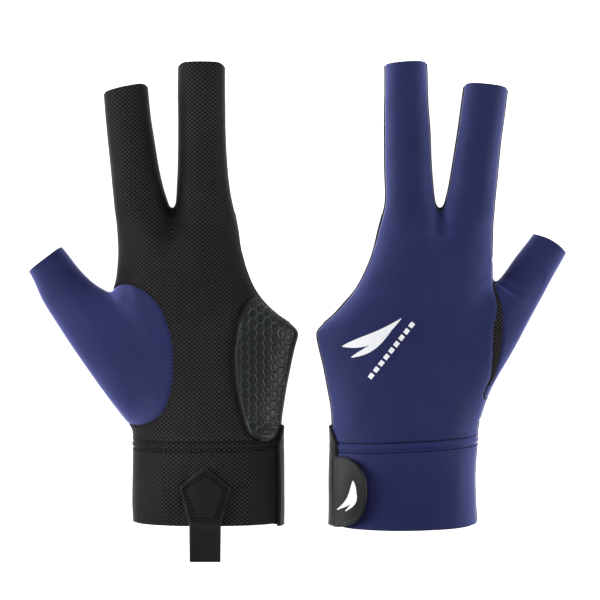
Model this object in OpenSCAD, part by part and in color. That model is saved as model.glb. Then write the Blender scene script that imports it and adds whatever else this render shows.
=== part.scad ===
// Pair of three-finger cue gloves, both for the left hand: stretch cloth on the back, mesh on the palm.
// One glove lies palm up and the other lies back up, as if each still held a hand.
// +X runs to the right, +Y towards the fingertips, +Z up. The origin is under the middle of the pair.

/* [Cloth] */
// Thickness of the stretch cloth and of the mesh
cloth_t = 1.0; // [0.8:0.1:1.2]
// Thickness of the hem tape inside each open end
tape_t = 0.6; // [0.4:0.1:0.8]
// Width of the mesh facing inside the cuff
facing_w = 6; // [4:0.5:8]

/* [Hand] */
// Height of the cuff
cuff_h = 35; // [32:1:38]
// Height of the palm at its middle
palm_h = 30; // [27:1:33]
// Height of the glove where the two fingers part
web_h = 22; // [20:1:24]
// Height of a finger sleeve at its open end
tip_h = 18; // [16:1:20]
// Half height of the side mouth that leaves the ring and little fingers bare
mouth_h = 5; // [4:0.5:6]
// Length of the cuff from the wrist seam to its hem
cuff_len = 39; // [37:0.5:40]
// How far each finger sleeve can bend up, in degrees
bend = 45; // [30:5:50]

/* [Thumb] */
// Height of the thumb sleeve at its open end
thumb_h = 17; // [15:0.5:19]
// Width of the oval thumb piece where it crosses the palm
thumb_reach = 25.5; // [23:0.5:27]

/* [Strap, tab and pad] */
// Thickness of the imitation leather of the strap, the patch and the pull tab
leather_t = 1.2; // [1:0.1:1.4]
// Thickness of the hook patch and of the loop patch
hook_t = 0.9; // [0.8:0.1:1.1]
// How far the strap end reaches round the back of the wrist
strap_len = 14; // [12:0.5:16]
// Length of the pull tab past the cuff
tab_len = 16; // [13:0.5:18]
// Width of the pull tab
tab_w = 14.5; // [12:0.5:16]
// Thickness of the ribbed cover of the grip pad
pad_t = 1.1; // [0.9:0.1:1.2]
// Thickness of the foam under the grip pad
foam_t = 0.8; // [0.6:0.1:1]

/* [Hidden] */
PIECES = [
    "palm_panel", "back_panel", "thumb_base", "thumb_gusset", "thumb_sleeve", "thumb_hem",
    "index_palm", "index_back", "index_hem", "middle_palm", "middle_back", "middle_hem",
    "cuff_palm", "cuff_back", "cuff_facing", "wrist_elastic", "grip_pad", "pad_foam",
    "strap_base", "strap_flap", "hook_patch", "loop_patch", "strap_print", "back_print",
    "tab_patch", "pull_tab"
];

// The two gloves: 0 lies palm up, 1 lies back up and is turned over about its length
place_x = [-44.9, 51.3];
navy = [0.16, 0.18, 0.36];
mesh_black = [0.14, 0.13, 0.14];
leather = [0.13, 0.15, 0.16];
grey = [0.3, 0.3, 0.33];
white = [0.85, 0.85, 0.85];

// Stations along each glove and the side lines of the hand there: the thumb side first
thumb_side = [
    [[-100, -30.8], [-87, -31.3], [-53, -31.3], [-48.5, -35], [-37.5, -43.7], [-26.5, -51.5],
     [-15.4, -58.9], [-6.5, -61.4], [8, -41.6], [15, -38.6], [26, -38.2], [37, -38.6], [50, -39.6]],
    [[-100, -31.7], [-76, -30.8], [-54, -32.2], [-43, -33.6], [-37.5, -36.3], [-26.5, -43.7],
     [-15.4, -50.6], [-4.4, -56.4], [0.6, -57.4], [11.6, -39.8], [17, -38.6], [26, -38.6], [50, -40.2]]
];
bare_side = [
    [[-100, 38.5], [-87, 38.1], [-60, 37.6], [-53, 37.5], [-37.5, 39.6], [-15.4, 43.7],
     [-10.5, 44.6], [-7, 42.3], [-1.6, 35], [3.9, 29.4], [9.4, 25.3], [15, 22.5], [26, 18.9],
     [37, 17], [50, 15]],
    [[-100, 36], [-60, 35.5], [-46, 36.2], [-37.5, 37.3], [-26.5, 39.1], [-15.4, 41.4],
     [-10.5, 41.9], [-7, 39.6], [-1.6, 33.6], [3.9, 29], [9.4, 24.4], [15, 21.2], [26, 16.6],
     [37, 13.8], [50, 11.5]]
];
// The sleeves: station, left side, right side
index_line = [
    [[49, -39.8, -14.4], [56, -40.5, -16.8], [67, -41.4, -19.4], [89, -44.2, -22.6], [103, -45.2, -24.4]],
    [[49, -40.2, -16.2], [56, -40.9, -18], [67, -42, -19.8], [89, -44.6, -23.5], [103, -46.4, -25.6]]
];
middle_line = [
    [[49, -11.6, 14.9], [56, -11, 13.8], [67, -10.6, 12.8], [89, -10.6, 11.8], [114.8, -10.6, 11.5]],
    [[49, -12.9, 11.5], [56, -12, 11.5], [67, -11, 11.5], [89, -9.8, 11.5], [114.8, -8.7, 11.5]]
];
// The lowest point of the cloth: raised over the strap, the patch and the pad that lie under it
ground = [
    [[-100, 4.2], [-59, 4.2], [-46, 0.4], [8, 0.4], [17, 0], [120, 0]],
    [[-100, 3.6], [-59, 3.6], [-50, 2.8], [-2, 2.8], [12, 0], [120, 0]]
];
height = [[-100, cuff_h - 1], [-80, cuff_h], [-56, cuff_h - 1.5], [-20, palm_h], [20, palm_h - 2],
          [48, web_h], [110, tip_h]];
wrist_y = -59;
hem_y = wrist_y - cuff_len;
knuckle_y = 48.6;
split_x = [-13, -14.6];
joint_gap = 0.5;
print_t = 0.25;
sink = 3;
// Play between two layers that lie on each other, and between a sleeve and the tape inside it
gap = 0.3;
clear = 0.1;
// Share of the thickness that lies below the widest line of the hand
share = 0.46;
round_k = 2.3;
elastic_w = 4;
sleeve_rings = 8;
thumb_rings = 6;
ring_n = 24;
crotch = [[-41.2, 9.2], [-39.4, 12.8]];
heel = [[-63, -6.2], [-58.9, 1.4]];
thumb_tip = [[-71.8, 23.7], [-65.6, 30.9]];
thumb_tip_w = [19.4, 17.4];
thumb_mid = 9;

function xl(g, y) = lookup(y, thumb_side[g]);
function xr(g, y) = lookup(y, bare_side[g]);
function low(g, y) = lookup(y, ground[g]);
function high(g, y) = low(g, y) + lookup(y, height);
function mid(g, y) = low(g, y) + share * lookup(y, height);
function bulge(u, k) = pow(max(0, 1 - pow(min(1, abs(u)), k)), 1 / k);
function hump(y, a, b) = y <= a || y >= b ? 0 : sin(180 * (y - a) / (b - a));
// How far the edges of the two layers stand apart at the bare side and at the thumb
function side_gap(g, y, u) =
    u > 0 ? mouth_h * hump(y, -9, 47) * pow(u, 4)
        : thumb_h * 0.42 * hump(y, heel[g][1], crotch[g][1]) * pow(-u, 4);
// The dip that parts the two fingers below the web
function dip(g, x, y) =
    1 - lookup(y, [[26, 0], [38, 0.35], [48.1, 0.94]]) * exp(-pow((x - split_x[g]) / 6, 2));
function height_at(g, s, x, y, u, off) = s > 0
    ? mid(g, y) + side_gap(g, y, u)
        + (high(g, y) - mid(g, y) - side_gap(g, y, u) + off) * bulge(u, round_k) * dip(g, x, y)
    : max(low(g, y) - off, mid(g, y) - side_gap(g, y, u)
        - (mid(g, y) - low(g, y) - side_gap(g, y, u) + sink + off) * bulge(u, round_k) * dip(g, x, y));
// One point of the hand: s is 1 on the upper layer and -1 on the lower one, a runs from -90 to 90 across
function hand_point(g, s, y, a, off) =
    let (u = sin(a), c = (xl(g, y) + xr(g, y)) / 2, w = (xr(g, y) - xl(g, y)) / 2, x = c + (w + off) * u)
    [x, y, height_at(g, s, x, y, u, off)];
function across(g, x, y) =
    let (c = (xl(g, y) + xr(g, y)) / 2, w = (xr(g, y) - xl(g, y)) / 2) asin(max(-1, min(1, (x - c) / w)));

// Faces of a closed sheet with a front grid and a rear grid of n rows and m columns
function sheet_faces(n, m) = let (k = n * m) concat(
    [for (i = [0 : n - 2], j = [0 : m - 2]) each let (p = i * m + j)
        [[p, p + m + 1, p + 1], [p, p + m, p + m + 1], [k + p, k + p + 1, k + p + m + 1],
         [k + p, k + p + m + 1, k + p + m]]],
    [for (i = [0 : n - 2]) each let (p = i * m, q = i * m + m - 1)
        [[p, k + p + m, p + m], [p, k + p, k + p + m], [q + m, k + q, q], [q + m, k + q + m, k + q]]],
    [for (j = [0 : m - 2]) each let (p = j, q = (n - 1) * m + j)
        [[p + 1, k + p, p], [p + 1, k + p + 1, k + p], [q, k + q + 1, q + 1], [q, k + q, k + q + 1]]]
);
function tube_faces(n, m) = let (k = n * m) concat(
    [for (i = [0 : n - 2], j = [0 : m - 1]) each let (p = i * m + j, q = i * m + (j + 1) % m)
        [[p, q + m, q], [p, p + m, q + m], [k + p, k + q, k + q + m], [k + p, k + q + m, k + p + m]]],
    [for (j = [0 : m - 1]) each let (p = j, q = (j + 1) % m, r = (n - 1) * m)
        [[q, k + p, p], [q, k + q, k + p], [r + p, k + r + q, r + q], [r + p, k + r + p, k + r + q]]]
);
function backwards(f) = [for (t = f) [t[2], t[1], t[0]]];

module solid_sheet(front, rear, flip) {
    n = len(front);
    m = len(front[0]);
    f = sheet_faces(n, m);
    polyhedron(points = concat([for (r = front) each r], [for (r = rear) each r]),
        faces = flip ? backwards(f) : f);
}

module solid_tube(front, rear) {
    n = len(front);
    m = len(front[0]);
    polyhedron(points = concat([for (r = front) each r], [for (r = rear) each r]), faces = tube_faces(n, m));
}

// A layer on the hand between two side lines, from one offset to another: the rows are [y, left a, right a]
module layer(g, s, rows, cols, out, inn) {
    grid = [for (r = rows) [for (j = [0 : cols]) [r[0], r[1] + (r[2] - r[1]) * j / cols]]];
    solid_sheet(
        [for (r = grid) [for (q = r) hand_point(g, s, q[0], q[1], out)]],
        [for (r = grid) [for (q = r) hand_point(g, s, q[0], q[1], inn)]],
        s < 0);
}

function stations(a, b, n) = [for (i = [0 : n]) a + (b - a) * i / n];
function side_of(g, palm) = (g == 0) == palm ? 1 : -1;

// The line where the thumb piece meets the palm
seam_shape = [[-52.4, 0.3], [-50.4, 0.62], [-44.4, 0.86], [-32.9, 0.985], [-21.4, 1], [-9, 0.93],
              [2.5, 0.73], [6.7, 0.5], [9, 0.1]];
function seam_x(y) = -37.5 + thumb_reach * lookup(y, seam_shape);
// The narrow mesh strip between the back and the thumb, and the stations along it
strip_mid = -12.6;
strip_low = -41;
function strip_rows(g) = concat(stations(strip_low, strip_mid, 5), stations(strip_mid + 5, crotch_y(g), 4));
function within(rows) = [for (i = [1 : len(rows) - 2]) rows[i]];
function strip_in(y) = lookup(y, [[strip_low, -34.6], [strip_mid, -38.4], [10, -39.8]]);
function strip_out(y) = lookup(y, [[strip_low, -35.4], [strip_mid, -42.8], [8, -41.8]]);
function crotch_y(g) = crotch[g][1] - 0.8;

module palm_panel(g) {
    s = side_of(g, true);
    color(mesh_black) {
        layer(g, s, [for (y = [wrist_y, -52.5]) [y, -90, 90]], 16, 0, -cloth_t);
        layer(g, s, [for (y = stations(-52.5, crotch_y(g), 12)) [y, across(g, seam_x(y), y), 90]],
            16, 0, -cloth_t);
        layer(g, s, [for (y = stations(crotch_y(g), knuckle_y - joint_gap, 7)) [y, -90, 90]],
            20, 0, -cloth_t);
    }
}

module back_panel(g) {
    s = side_of(g, false);
    color(navy) {
        layer(g, s, [for (y = stations(wrist_y, strip_low, 3)) [y, -90, 90]], 18, 0, -cloth_t);
        layer(g, s, [for (y = strip_rows(g)) [y, across(g, strip_in(y), y), 90]],
            18, 0, -cloth_t);
        layer(g, s, [for (y = stations(crotch_y(g), knuckle_y - joint_gap, 7)) [y, -90, 90]],
            20, 0, -cloth_t);
    }
}

module thumb_base(g) {
    color(navy) {
        layer(g, side_of(g, true), [for (y = stations(-52.4, crotch_y(g) - 0.4, 12))
            [y, -90, across(g, seam_x(y) - gap, y)]], 8, 0, -cloth_t);
        rows = concat([strip_low + 0.4], within(strip_rows(g)), [crotch_y(g) - 1.5]);
        layer(g, side_of(g, false), [for (y = rows) [y, -90, across(g, strip_out(y), y)]], 6, 0, -cloth_t);
    }
}

module thumb_gusset(g) {
    color(mesh_black)
        layer(g, side_of(g, false), [for (y = within(strip_rows(g)))
            [y, across(g, strip_out(y) + gap, y), across(g, strip_in(y) - gap, y)]], 2, 0, -cloth_t);
}

// One ring of a finger sleeve, square to the sleeve's own line at its open end: the upper part of the
// first ring is cut back so that the sleeve can bend up
function sleeve_ring(g, line, t, off, m) =
    let (y_end = line[len(line) - 1][0], tilt = (line[4][1] - line[1][1]) / (line[4][0] - line[1][0]),
        y0 = knuckle_y + joint_gap, y = y0 + (y_end - y0) * t,
        l = lookup(y, [for (r = line) [r[0], r[1]]]), r = lookup(y, [for (r = line) [r[0], r[2]]]),
        c = (l + r) / 2, w = (r - l) / 2 + off, zl = low(g, y), zm = mid(g, y), zh = high(g, y))
    [for (j = [0 : m - 1]) let (a = 180 - 360 * j / m, u = cos(a) , v = sin(a),
        k = pow(pow(abs(u), round_k) + pow(abs(v), round_k), -1 / round_k),
        z = v >= 0 ? zm + (zh - zm + off) * k * v : max(zl - off, zm + (zm - zl + sink * t + off) * k * v),
        back = (1 - t) * max(0, z - zm) * tan(bend))
        [c + w * k * u, y + back - tilt * t * w * k * u, z]];

module sleeve_half(g, line, s, m) {
    n = sleeve_rings;
    keep = s > 0 ? [0 : m / 2] : [m / 2 : m];
    front = [for (i = [0 : n]) let (r = sleeve_ring(g, line, i / n, 0, m)) [for (j = keep) r[j % m]]];
    rear = [for (i = [0 : n]) let (r = sleeve_ring(g, line, i / n, -cloth_t, m)) [for (j = keep) r[j % m]]];
    solid_sheet(front, rear, false);
}

// The tape inside the last stretch of a sleeve
module sleeve_hem(g, line, m) {
    outer = -cloth_t - clear;
    ts = [1 - 1 / sleeve_rings, 1];
    solid_tube([for (t = ts) sleeve_ring(g, line, t, outer, m)],
        [for (t = ts) sleeve_ring(g, line, t, outer - tape_t, m)]);
}

module index_palm(g) { color(mesh_black) sleeve_half(g, index_line[g], side_of(g, true), ring_n); }
module index_back(g) { color(navy) sleeve_half(g, index_line[g], side_of(g, false), ring_n); }
module index_hem(g) { color(grey) sleeve_hem(g, index_line[g], ring_n); }
module middle_palm(g) { color(mesh_black) sleeve_half(g, middle_line[g], side_of(g, true), ring_n); }
module middle_back(g) { color(navy) sleeve_half(g, middle_line[g], side_of(g, false), ring_n); }
module middle_hem(g) { color(grey) sleeve_hem(g, middle_line[g], ring_n); }

// One ring of the thumb sleeve, square to the thumb's own line
function thumb_ring(g, t, off, m) =
    let (a0 = crotch[g], b0 = heel[g], c0 = (a0 + b0) / 2, w0 = norm(a0 - b0) / 2 - 0.6,
        d = (thumb_tip[g] - c0) / norm(thumb_tip[g] - c0), h = norm(thumb_tip[g] - c0), side = [d[1], -d[0]],
        s = joint_gap + (h - joint_gap) * t, c = c0 + d * s,
        w = w0 + (thumb_tip_w[g] / 2 - w0) * min(1, t * 1.2) + off,
        zl = low(g, c0[1]) * (1 - t), zm = zl + thumb_mid)
    [for (j = [0 : m - 1]) let (a = 180 - 360 * j / m, u = cos(a), v = sin(a),
        k = pow(pow(abs(u), round_k) + pow(abs(v), round_k), -1 / round_k),
        z = v >= 0 ? zm + (thumb_h - thumb_mid + off) * k * v
            : max(zl - off, zm + (thumb_mid + sink + off) * k * v),
        p = c + side * (w * k * u) + d * ((1 - t) * max(0, z - zm) * tan(bend)))
        [p[0], p[1], z]];

module thumb_sleeve(g) {
    n = thumb_rings;
    color(navy) solid_tube([for (i = [0 : n]) thumb_ring(g, i / n, 0, ring_n)],
        [for (i = [0 : n]) thumb_ring(g, i / n, -cloth_t, ring_n)]);
}

module thumb_hem(g) {
    outer = -cloth_t - clear;
    ts = [1 - 1 / thumb_rings, 1];
    color(grey) solid_tube([for (t = ts) thumb_ring(g, t, outer, ring_n)],
        [for (t = ts) thumb_ring(g, t, outer - tape_t, ring_n)]);
}

module cuff_palm(g) {
    color(mesh_black)
        layer(g, side_of(g, true), [for (y = stations(hem_y, wrist_y, 6)) [y, -90, 90]], 18, 0, -cloth_t);
}

module cuff_back(g) {
    color(navy)
        layer(g, side_of(g, false), [for (y = stations(hem_y, wrist_y, 6)) [y, -90, 90]], 18, 0, -cloth_t);
}

module cuff_facing(g) {
    for (s = [1, -1])
        color(mesh_black) layer(g, s, [for (y = stations(hem_y, hem_y + facing_w, 2)) [y, -90, 90]],
            18, -cloth_t - clear, -cloth_t - tape_t - clear);
}

module wrist_elastic(g) {
    for (s = [1, -1])
        color(grey) layer(g, s, [for (y = stations(wrist_y - elastic_w, wrist_y, 2)) [y, -90, 90]],
            18, -cloth_t - gap, -cloth_t - tape_t - gap);
}

// Grip pad on the little-finger side of the palm: its two side lines, station by station
pad_left = [[-60, 29], [-56.5, 24.6], [-42.1, 18.4], [-20.5, 15.6], [-6, 17.5], [2, 21], [5.2, 24.5]];
function pad_right(g, y) = xr(g, y) - lookup(y, [[-60, 1.6], [5, 1.8]]);
pad_rows = stations(-58.4, 4.6, 14);
module pad_layer(g, rows, out, inn, inset) {
    layer(g, side_of(g, true), [for (y = rows)
        [y, across(g, lookup(y, pad_left) + inset, y), across(g, pad_right(g, y) - inset, y)]], 8, out, inn);
}
module grip_pad(g) { color(leather) pad_layer(g, pad_rows, 2 * gap + foam_t + pad_t, 2 * gap + foam_t, 0); }
module pad_foam(g) {
    color(grey) pad_layer(g, within(pad_rows), gap + foam_t, gap, 1.5);
}

// The strap: a strip folded round the edge of the cuff, and a rounded end that closes on the back
strap_y = [hem_y + 0.5, -59.5];
flap_y = [hem_y + 1, -67];
strip_w = 3.6;
function hinge_x(g) = xr(g, -80) - strip_w - 1.4;
module strap_base(g) {
    color(leather) for (s = [1, -1])
        layer(g, s, [for (y = stations(strap_y[0], strap_y[1], 6)) [y, across(g, xr(g, y) - strip_w, y), 90]],
            5, leather_t, 0);
}
// The rounded end: the reach falls away towards both corners
function reach(y) = let (c = (flap_y[0] + flap_y[1]) / 2, h = (flap_y[1] - flap_y[0]) / 2)
    strap_len * (0.42 + 0.58 * sqrt(max(0, 1 - pow((y - c) / h, 2))));
module flap_layer(g, out, inn, inset, root) {
    layer(g, side_of(g, false), [for (y = stations(flap_y[0] + inset, flap_y[1] - inset, 10))
        [y, across(g, hinge_x(g) - reach(y) + inset, y), across(g, hinge_x(g) - root, y)]], 6, out, inn);
}
flap_off = 2 * hook_t + 2 * gap;
flap_top = flap_off + leather_t;
module strap_flap(g) { color(leather) flap_layer(g, flap_top, flap_off, 0, 0); }
module hook_patch(g) { color(grey) flap_layer(g, flap_off - 2 * clear, flap_off - 2 * clear - hook_t, 2, 2); }
module loop_patch(g) { color(grey) flap_layer(g, hook_t + clear, clear, 1.5, 1.5); }
module strap_print(g) { color(white) flap_layer(g, flap_top + clear + print_t, flap_top + clear, 5.5, 2); }

module back_print(g) {
    color(white) layer(g, side_of(g, false),
        [for (y = stations(-29, -5, 5)) [y, across(g, 2, y), across(g, 22, y)]], 6, clear + print_t, clear);
}

// Five-sided patch on the palm side of the cuff, with the pull tab sewn to it
patch_side = [[hem_y + 1.2, 7.2], [-80.7, 11.7], [-71.6, 0.6]];
patch_rows = concat(stations(patch_side[0][0], patch_side[1][0], 4),
    stations(patch_side[1][0] + 1.5, patch_side[2][0], 4));
tab_x = 2.8;
module tab_patch(g) {
    color(leather) layer(g, side_of(g, true), [for (y = patch_rows) let (w = lookup(y, patch_side))
        [y, across(g, tab_x - w, y), across(g, tab_x + w, y)]], 8, leather_t, 0);
}
// The tab stands straight out on the glove that lies palm up and is tucked under the other
module pull_tab(g) {
    z = g == 0 ? high(0, hem_y) + joint_gap : gap;
    y = g == 0 ? hem_y - 2 * gap - tab_len : hem_y + 2 * clear;
    color(leather) translate([tab_x - tab_w / 2, y, z]) cube([tab_w, tab_len, leather_t]);
}

module glove(g) {
    translate([place_x[g], 0, 0]) mirror([g, 0, 0]) children();
}

glove(0) palm_panel(0);  // palm_up_palm_panel
glove(0) back_panel(0);  // palm_up_back_panel
glove(0) thumb_base(0);  // palm_up_thumb_base
glove(0) thumb_gusset(0);  // palm_up_thumb_gusset
glove(0) thumb_sleeve(0);  // palm_up_thumb_sleeve
glove(0) thumb_hem(0);  // palm_up_thumb_hem
glove(0) index_palm(0);  // palm_up_index_palm
glove(0) index_back(0);  // palm_up_index_back
glove(0) index_hem(0);  // palm_up_index_hem
glove(0) middle_palm(0);  // palm_up_middle_palm
glove(0) middle_back(0);  // palm_up_middle_back
glove(0) middle_hem(0);  // palm_up_middle_hem
glove(0) cuff_palm(0);  // palm_up_cuff_palm
glove(0) cuff_back(0);  // palm_up_cuff_back
glove(0) cuff_facing(0);  // palm_up_cuff_facing
glove(0) wrist_elastic(0);  // palm_up_wrist_elastic
glove(0) grip_pad(0);  // palm_up_grip_pad
glove(0) pad_foam(0);  // palm_up_pad_foam
glove(0) strap_base(0);  // palm_up_strap_base
glove(0) strap_flap(0);  // palm_up_strap_flap
glove(0) hook_patch(0);  // palm_up_hook_patch
glove(0) loop_patch(0);  // palm_up_loop_patch
glove(0) strap_print(0);  // palm_up_strap_print
glove(0) back_print(0);  // palm_up_back_print
glove(0) tab_patch(0);  // palm_up_tab_patch
glove(0) pull_tab(0);  // palm_up_pull_tab
glove(1) palm_panel(1);  // back_up_palm_panel
glove(1) back_panel(1);  // back_up_back_panel
glove(1) thumb_base(1);  // back_up_thumb_base
glove(1) thumb_gusset(1);  // back_up_thumb_gusset
glove(1) thumb_sleeve(1);  // back_up_thumb_sleeve
glove(1) thumb_hem(1);  // back_up_thumb_hem
glove(1) index_palm(1);  // back_up_index_palm
glove(1) index_back(1);  // back_up_index_back
glove(1) index_hem(1);  // back_up_index_hem
glove(1) middle_palm(1);  // back_up_middle_palm
glove(1) middle_back(1);  // back_up_middle_back
glove(1) middle_hem(1);  // back_up_middle_hem
glove(1) cuff_palm(1);  // back_up_cuff_palm
glove(1) cuff_back(1);  // back_up_cuff_back
glove(1) cuff_facing(1);  // back_up_cuff_facing
glove(1) wrist_elastic(1);  // back_up_wrist_elastic
glove(1) grip_pad(1);  // back_up_grip_pad
glove(1) pad_foam(1);  // back_up_pad_foam
glove(1) strap_base(1);  // back_up_strap_base
glove(1) strap_flap(1);  // back_up_strap_flap
glove(1) hook_patch(1);  // back_up_hook_patch
glove(1) loop_patch(1);  // back_up_loop_patch
glove(1) strap_print(1);  // back_up_strap_print
glove(1) back_print(1);  // back_up_back_print
glove(1) tab_patch(1);  // back_up_tab_patch
glove(1) pull_tab(1);  // back_up_pull_tab
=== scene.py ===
"""A pair of left-hand cue gloves of stretch cloth and mesh: one lies palm up, the other back up."""
import math

import bmesh
import bpy
import numpy as np
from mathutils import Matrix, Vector
from mathutils.bvhtree import BVHTree


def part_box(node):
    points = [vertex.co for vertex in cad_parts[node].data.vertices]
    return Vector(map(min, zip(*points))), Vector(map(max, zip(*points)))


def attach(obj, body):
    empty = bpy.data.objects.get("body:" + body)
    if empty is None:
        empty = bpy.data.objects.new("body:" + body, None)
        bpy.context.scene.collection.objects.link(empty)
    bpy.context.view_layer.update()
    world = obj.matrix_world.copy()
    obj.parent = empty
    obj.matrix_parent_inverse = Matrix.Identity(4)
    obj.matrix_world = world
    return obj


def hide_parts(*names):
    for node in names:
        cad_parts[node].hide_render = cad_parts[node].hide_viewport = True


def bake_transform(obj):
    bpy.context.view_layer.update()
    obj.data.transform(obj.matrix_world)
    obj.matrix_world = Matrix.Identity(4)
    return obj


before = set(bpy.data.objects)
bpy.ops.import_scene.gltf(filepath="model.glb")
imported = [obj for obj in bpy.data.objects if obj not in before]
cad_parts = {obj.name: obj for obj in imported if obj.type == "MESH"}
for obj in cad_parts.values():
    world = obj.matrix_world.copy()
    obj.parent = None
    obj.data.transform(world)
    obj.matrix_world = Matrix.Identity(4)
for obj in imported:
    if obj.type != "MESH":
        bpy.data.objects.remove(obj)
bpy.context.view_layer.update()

# ---------------------------------------------------------------- sizes, in millimetres
MM = 0.001
PALM_UP = 0
BACK_UP = 1
PREFIX = ("palm_up_", "back_up_")
CLOTH = 0.9
VOXEL = 0.9
ROUND = 2.3
TAB_X = 2.8
WRIST_Y = -59.0
CHANNEL = 2.9
HEM_Y = -98.0
HEM_LEAN = (0.08, 0.20)
KNUCKLE_Y = 47.0
SEAM_SIDE = 3.0
SINK = 3.0
# The parts of a section's height below and above its widest level
UNDER_SHARE = 0.46
OVER_SHARE = 0.54
# How often the roots of the thumb and sleeves are levelled in height, then softened
LEVEL_PASSES = 160
SOFTEN_PASSES = 12
LEATHER = 1.2

# The side lines of each hand, station by station: the thumb side without the thumb, then the bare side
THUMB_SIDE = (
    [(-106, -30.6), (-98, -30.8), (-87, -31.3), (-60, -31.0), (-50, -31.5), (-20, -36), (9, -40.2),
     (15, -38.8),
     (26, -38.2), (37, -38.6), (50, -39.6)],
    [(-106, -31.9), (-98, -31.7), (-76, -30.8), (-60, -31.6), (-48, -32.4), (-20, -35.6), (9, -39.2),
     (15, -38.8),
     (26, -38.6), (37, -39.1), (50, -40.2)],
)
BARE_SIDE = (
    [(-106, 37.8), (-98, 37.9), (-87, 38), (-60, 37.6), (-53, 37.5), (-37.5, 39.8), (-15.4, 44.3),
     (-10.5, 45.6), (-7, 43), (-1.6, 35.6), (3.9, 30), (9.4, 25.9), (15, 23.1), (26, 19.5), (37, 17.5),
     (50, 15)],
    [(-106, 36.2), (-98, 36), (-60, 35.5), (-46, 36.2), (-37.5, 37.4), (-26.5, 39.3), (-15.4, 41.9),
     (-10.5, 42.8), (-7, 40.3), (-1.6, 34.2), (3.9, 29.6), (9.4, 25), (15, 21.8), (26, 17.2), (37, 14.4),
     (50, 11.5)],
)
# The sleeves: station, left side, right side
INDEX = (
    [(42, -39.2, -13.4), (49, -39.8, -14.4), (56, -40.5, -16.8), (67, -41.4, -19.4), (89, -44.2, -22.6),
     (108, -45.8, -24.9)],
    [(42, -39.6, -14.6), (49, -40.2, -16.2), (56, -40.9, -18), (67, -42, -19.8), (89, -44.6, -23.5),
     (108, -46.9, -26.1)],
)
MIDDLE = (
    [(42, -12.4, 16.2), (49, -11.6, 14.9), (56, -11, 13.8), (67, -10.6, 12.8), (89, -10.6, 11.8),
     (120, -10.6, 11.5)],
    [(42, -14.2, 12.4), (49, -12.9, 11.6), (56, -12, 11.5), (67, -11, 11.5), (89, -9.8, 11.5),
     (120, -8.7, 11.5)],
)
INDEX_TIP = (103.2, 104.3)
MIDDLE_TIP = 114.6
TIP_TILT = ((-0.20, 0.0), (-0.10, 0.06))
SPLIT_X = (-13.0, -14.6)
# The thumb, from its open end down into the wrist: outer point, inner point, height
THUMB = (
    [((-84.0, 22.5), (-68.3, 34.5), 16.5), ((-79.6, 17.7), (-63.9, 29.7), 16.5),
     ((-73.0, 4.4), (-55.0, 17.8), 18.5),
     ((-69.0, -2.0), (-48.8, 12.0), 19.8), ((-64.8, -8.2), (-42.2, 8.4), 21.5),
     ((-52.3, -27.0), (-16, -4), 25),
     ((-41, -42.8), (-9, -30), 27), ((-31, -55), (-6, -52), 27.5)],
    [((-75.8, 32.4), (-61.2, 41.2), 16.5), ((-73.1, 26.5), (-57.8, 35.4), 16.5),
     ((-66.2, 13.8), (-49.0, 24.0), 18.5),
     ((-62.8, 7.5), (-44.6, 17.6), 19.8), ((-59.2, 1.2), (-39.8, 12.2), 21.5),
     ((-46.8, -21.2), (-16, -2), 25),
     ((-37.5, -37.5), (-9, -28), 27), ((-31.8, -54), (-6, -52), 27.5)],
)
# The seam of the oval thumb piece on the palm, closed round the thumb
OVAL = [(-41.5, 9.6), (-37.5, 11.6), (-33, 11.8), (-27, 9.6), (-21.5, 5.4), (-17, -0.8), (-14, -9),
        (-12.4, -17), (-12, -25),
        (-12.6, -33.5), (-15, -43), (-18.4, -48), (-23, -51), (-28.5, -52.4), (-34, -52.2)]
OVAL_OUTSIDE = (
    [(-60, -52), (-100, -10), (-90, 50), (-58, 44), (-46, 16)],
    [(-60, -50), (-100, -8), (-90, 54), (-50, 52), (-39.5, 26), (-38.6, 16)],
)
# How far the thumb's open end swells beyond a straight line
THUMB_SWELL = (0.0, 1.2)
GROUND = (
    [(-106, 4), (-62, 4), (-48, 0), (120, 0)],
    [(-106, 3.4), (-70, 3.4), (-60, 2.2), (-2, 2.2), (12, 0), (120, 0)],
)
HEIGHT = [(-106, 34), (-98, 34.2), (-80, 35), (-56, 33.5), (-20, 30), (20, 28), (48, 21), (56, 19.6),
          (110, 17.6)]


def curve(points):
    """A smooth line through points that never overshoots them, as a function of the first number."""
    xs = np.array([p[0] for p in points], float)
    vs = np.array([p[1] for p in points], float)
    step = np.diff(xs)
    slope = np.diff(vs) / step
    m = np.concatenate([[slope[0]], np.zeros(len(xs) - 2), [slope[-1]]])
    for i in range(1, len(xs) - 1):
        if slope[i - 1] * slope[i] > 0:
            a = 2 * step[i] + step[i - 1]
            b = step[i] + 2 * step[i - 1]
            m[i] = (a + b) / (a / slope[i - 1] + b / slope[i])

    def at(x):
        x = np.clip(x, xs[0], xs[-1])
        i = np.clip(np.searchsorted(xs, x) - 1, 0, len(xs) - 2)
        h = step[i]
        t = (x - xs[i]) / h
        return ((2 * t**3 - 3 * t**2 + 1) * vs[i] + (t**3 - 2 * t**2 + t) * h * m[i]
                + (3 * t**2 - 2 * t**3) * vs[i + 1] + (t**3 - t**2) * h * m[i + 1])

    return at


def columns(rows, i):
    """A curve through one column of a table of rows."""
    return curve([(r[0], r[i]) for r in rows])


height = curve(HEIGHT)
ground = [curve(t) for t in GROUND]
left_line = [curve(t) for t in THUMB_SIDE]
right_line = [curve(t) for t in BARE_SIDE]


def low(g, y):
    return ground[g](y)


def middle_z(g, y):
    return ground[g](y) + UNDER_SHARE * height(y)


def ellipse_point(angle):
    """A point on the rounded section that every sleeve and the hand share."""
    c, s = math.cos(angle), math.sin(angle)
    k = (abs(c) ** ROUND + abs(s) ** ROUND) ** (-1 / ROUND)
    return c * k, s * k


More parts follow.
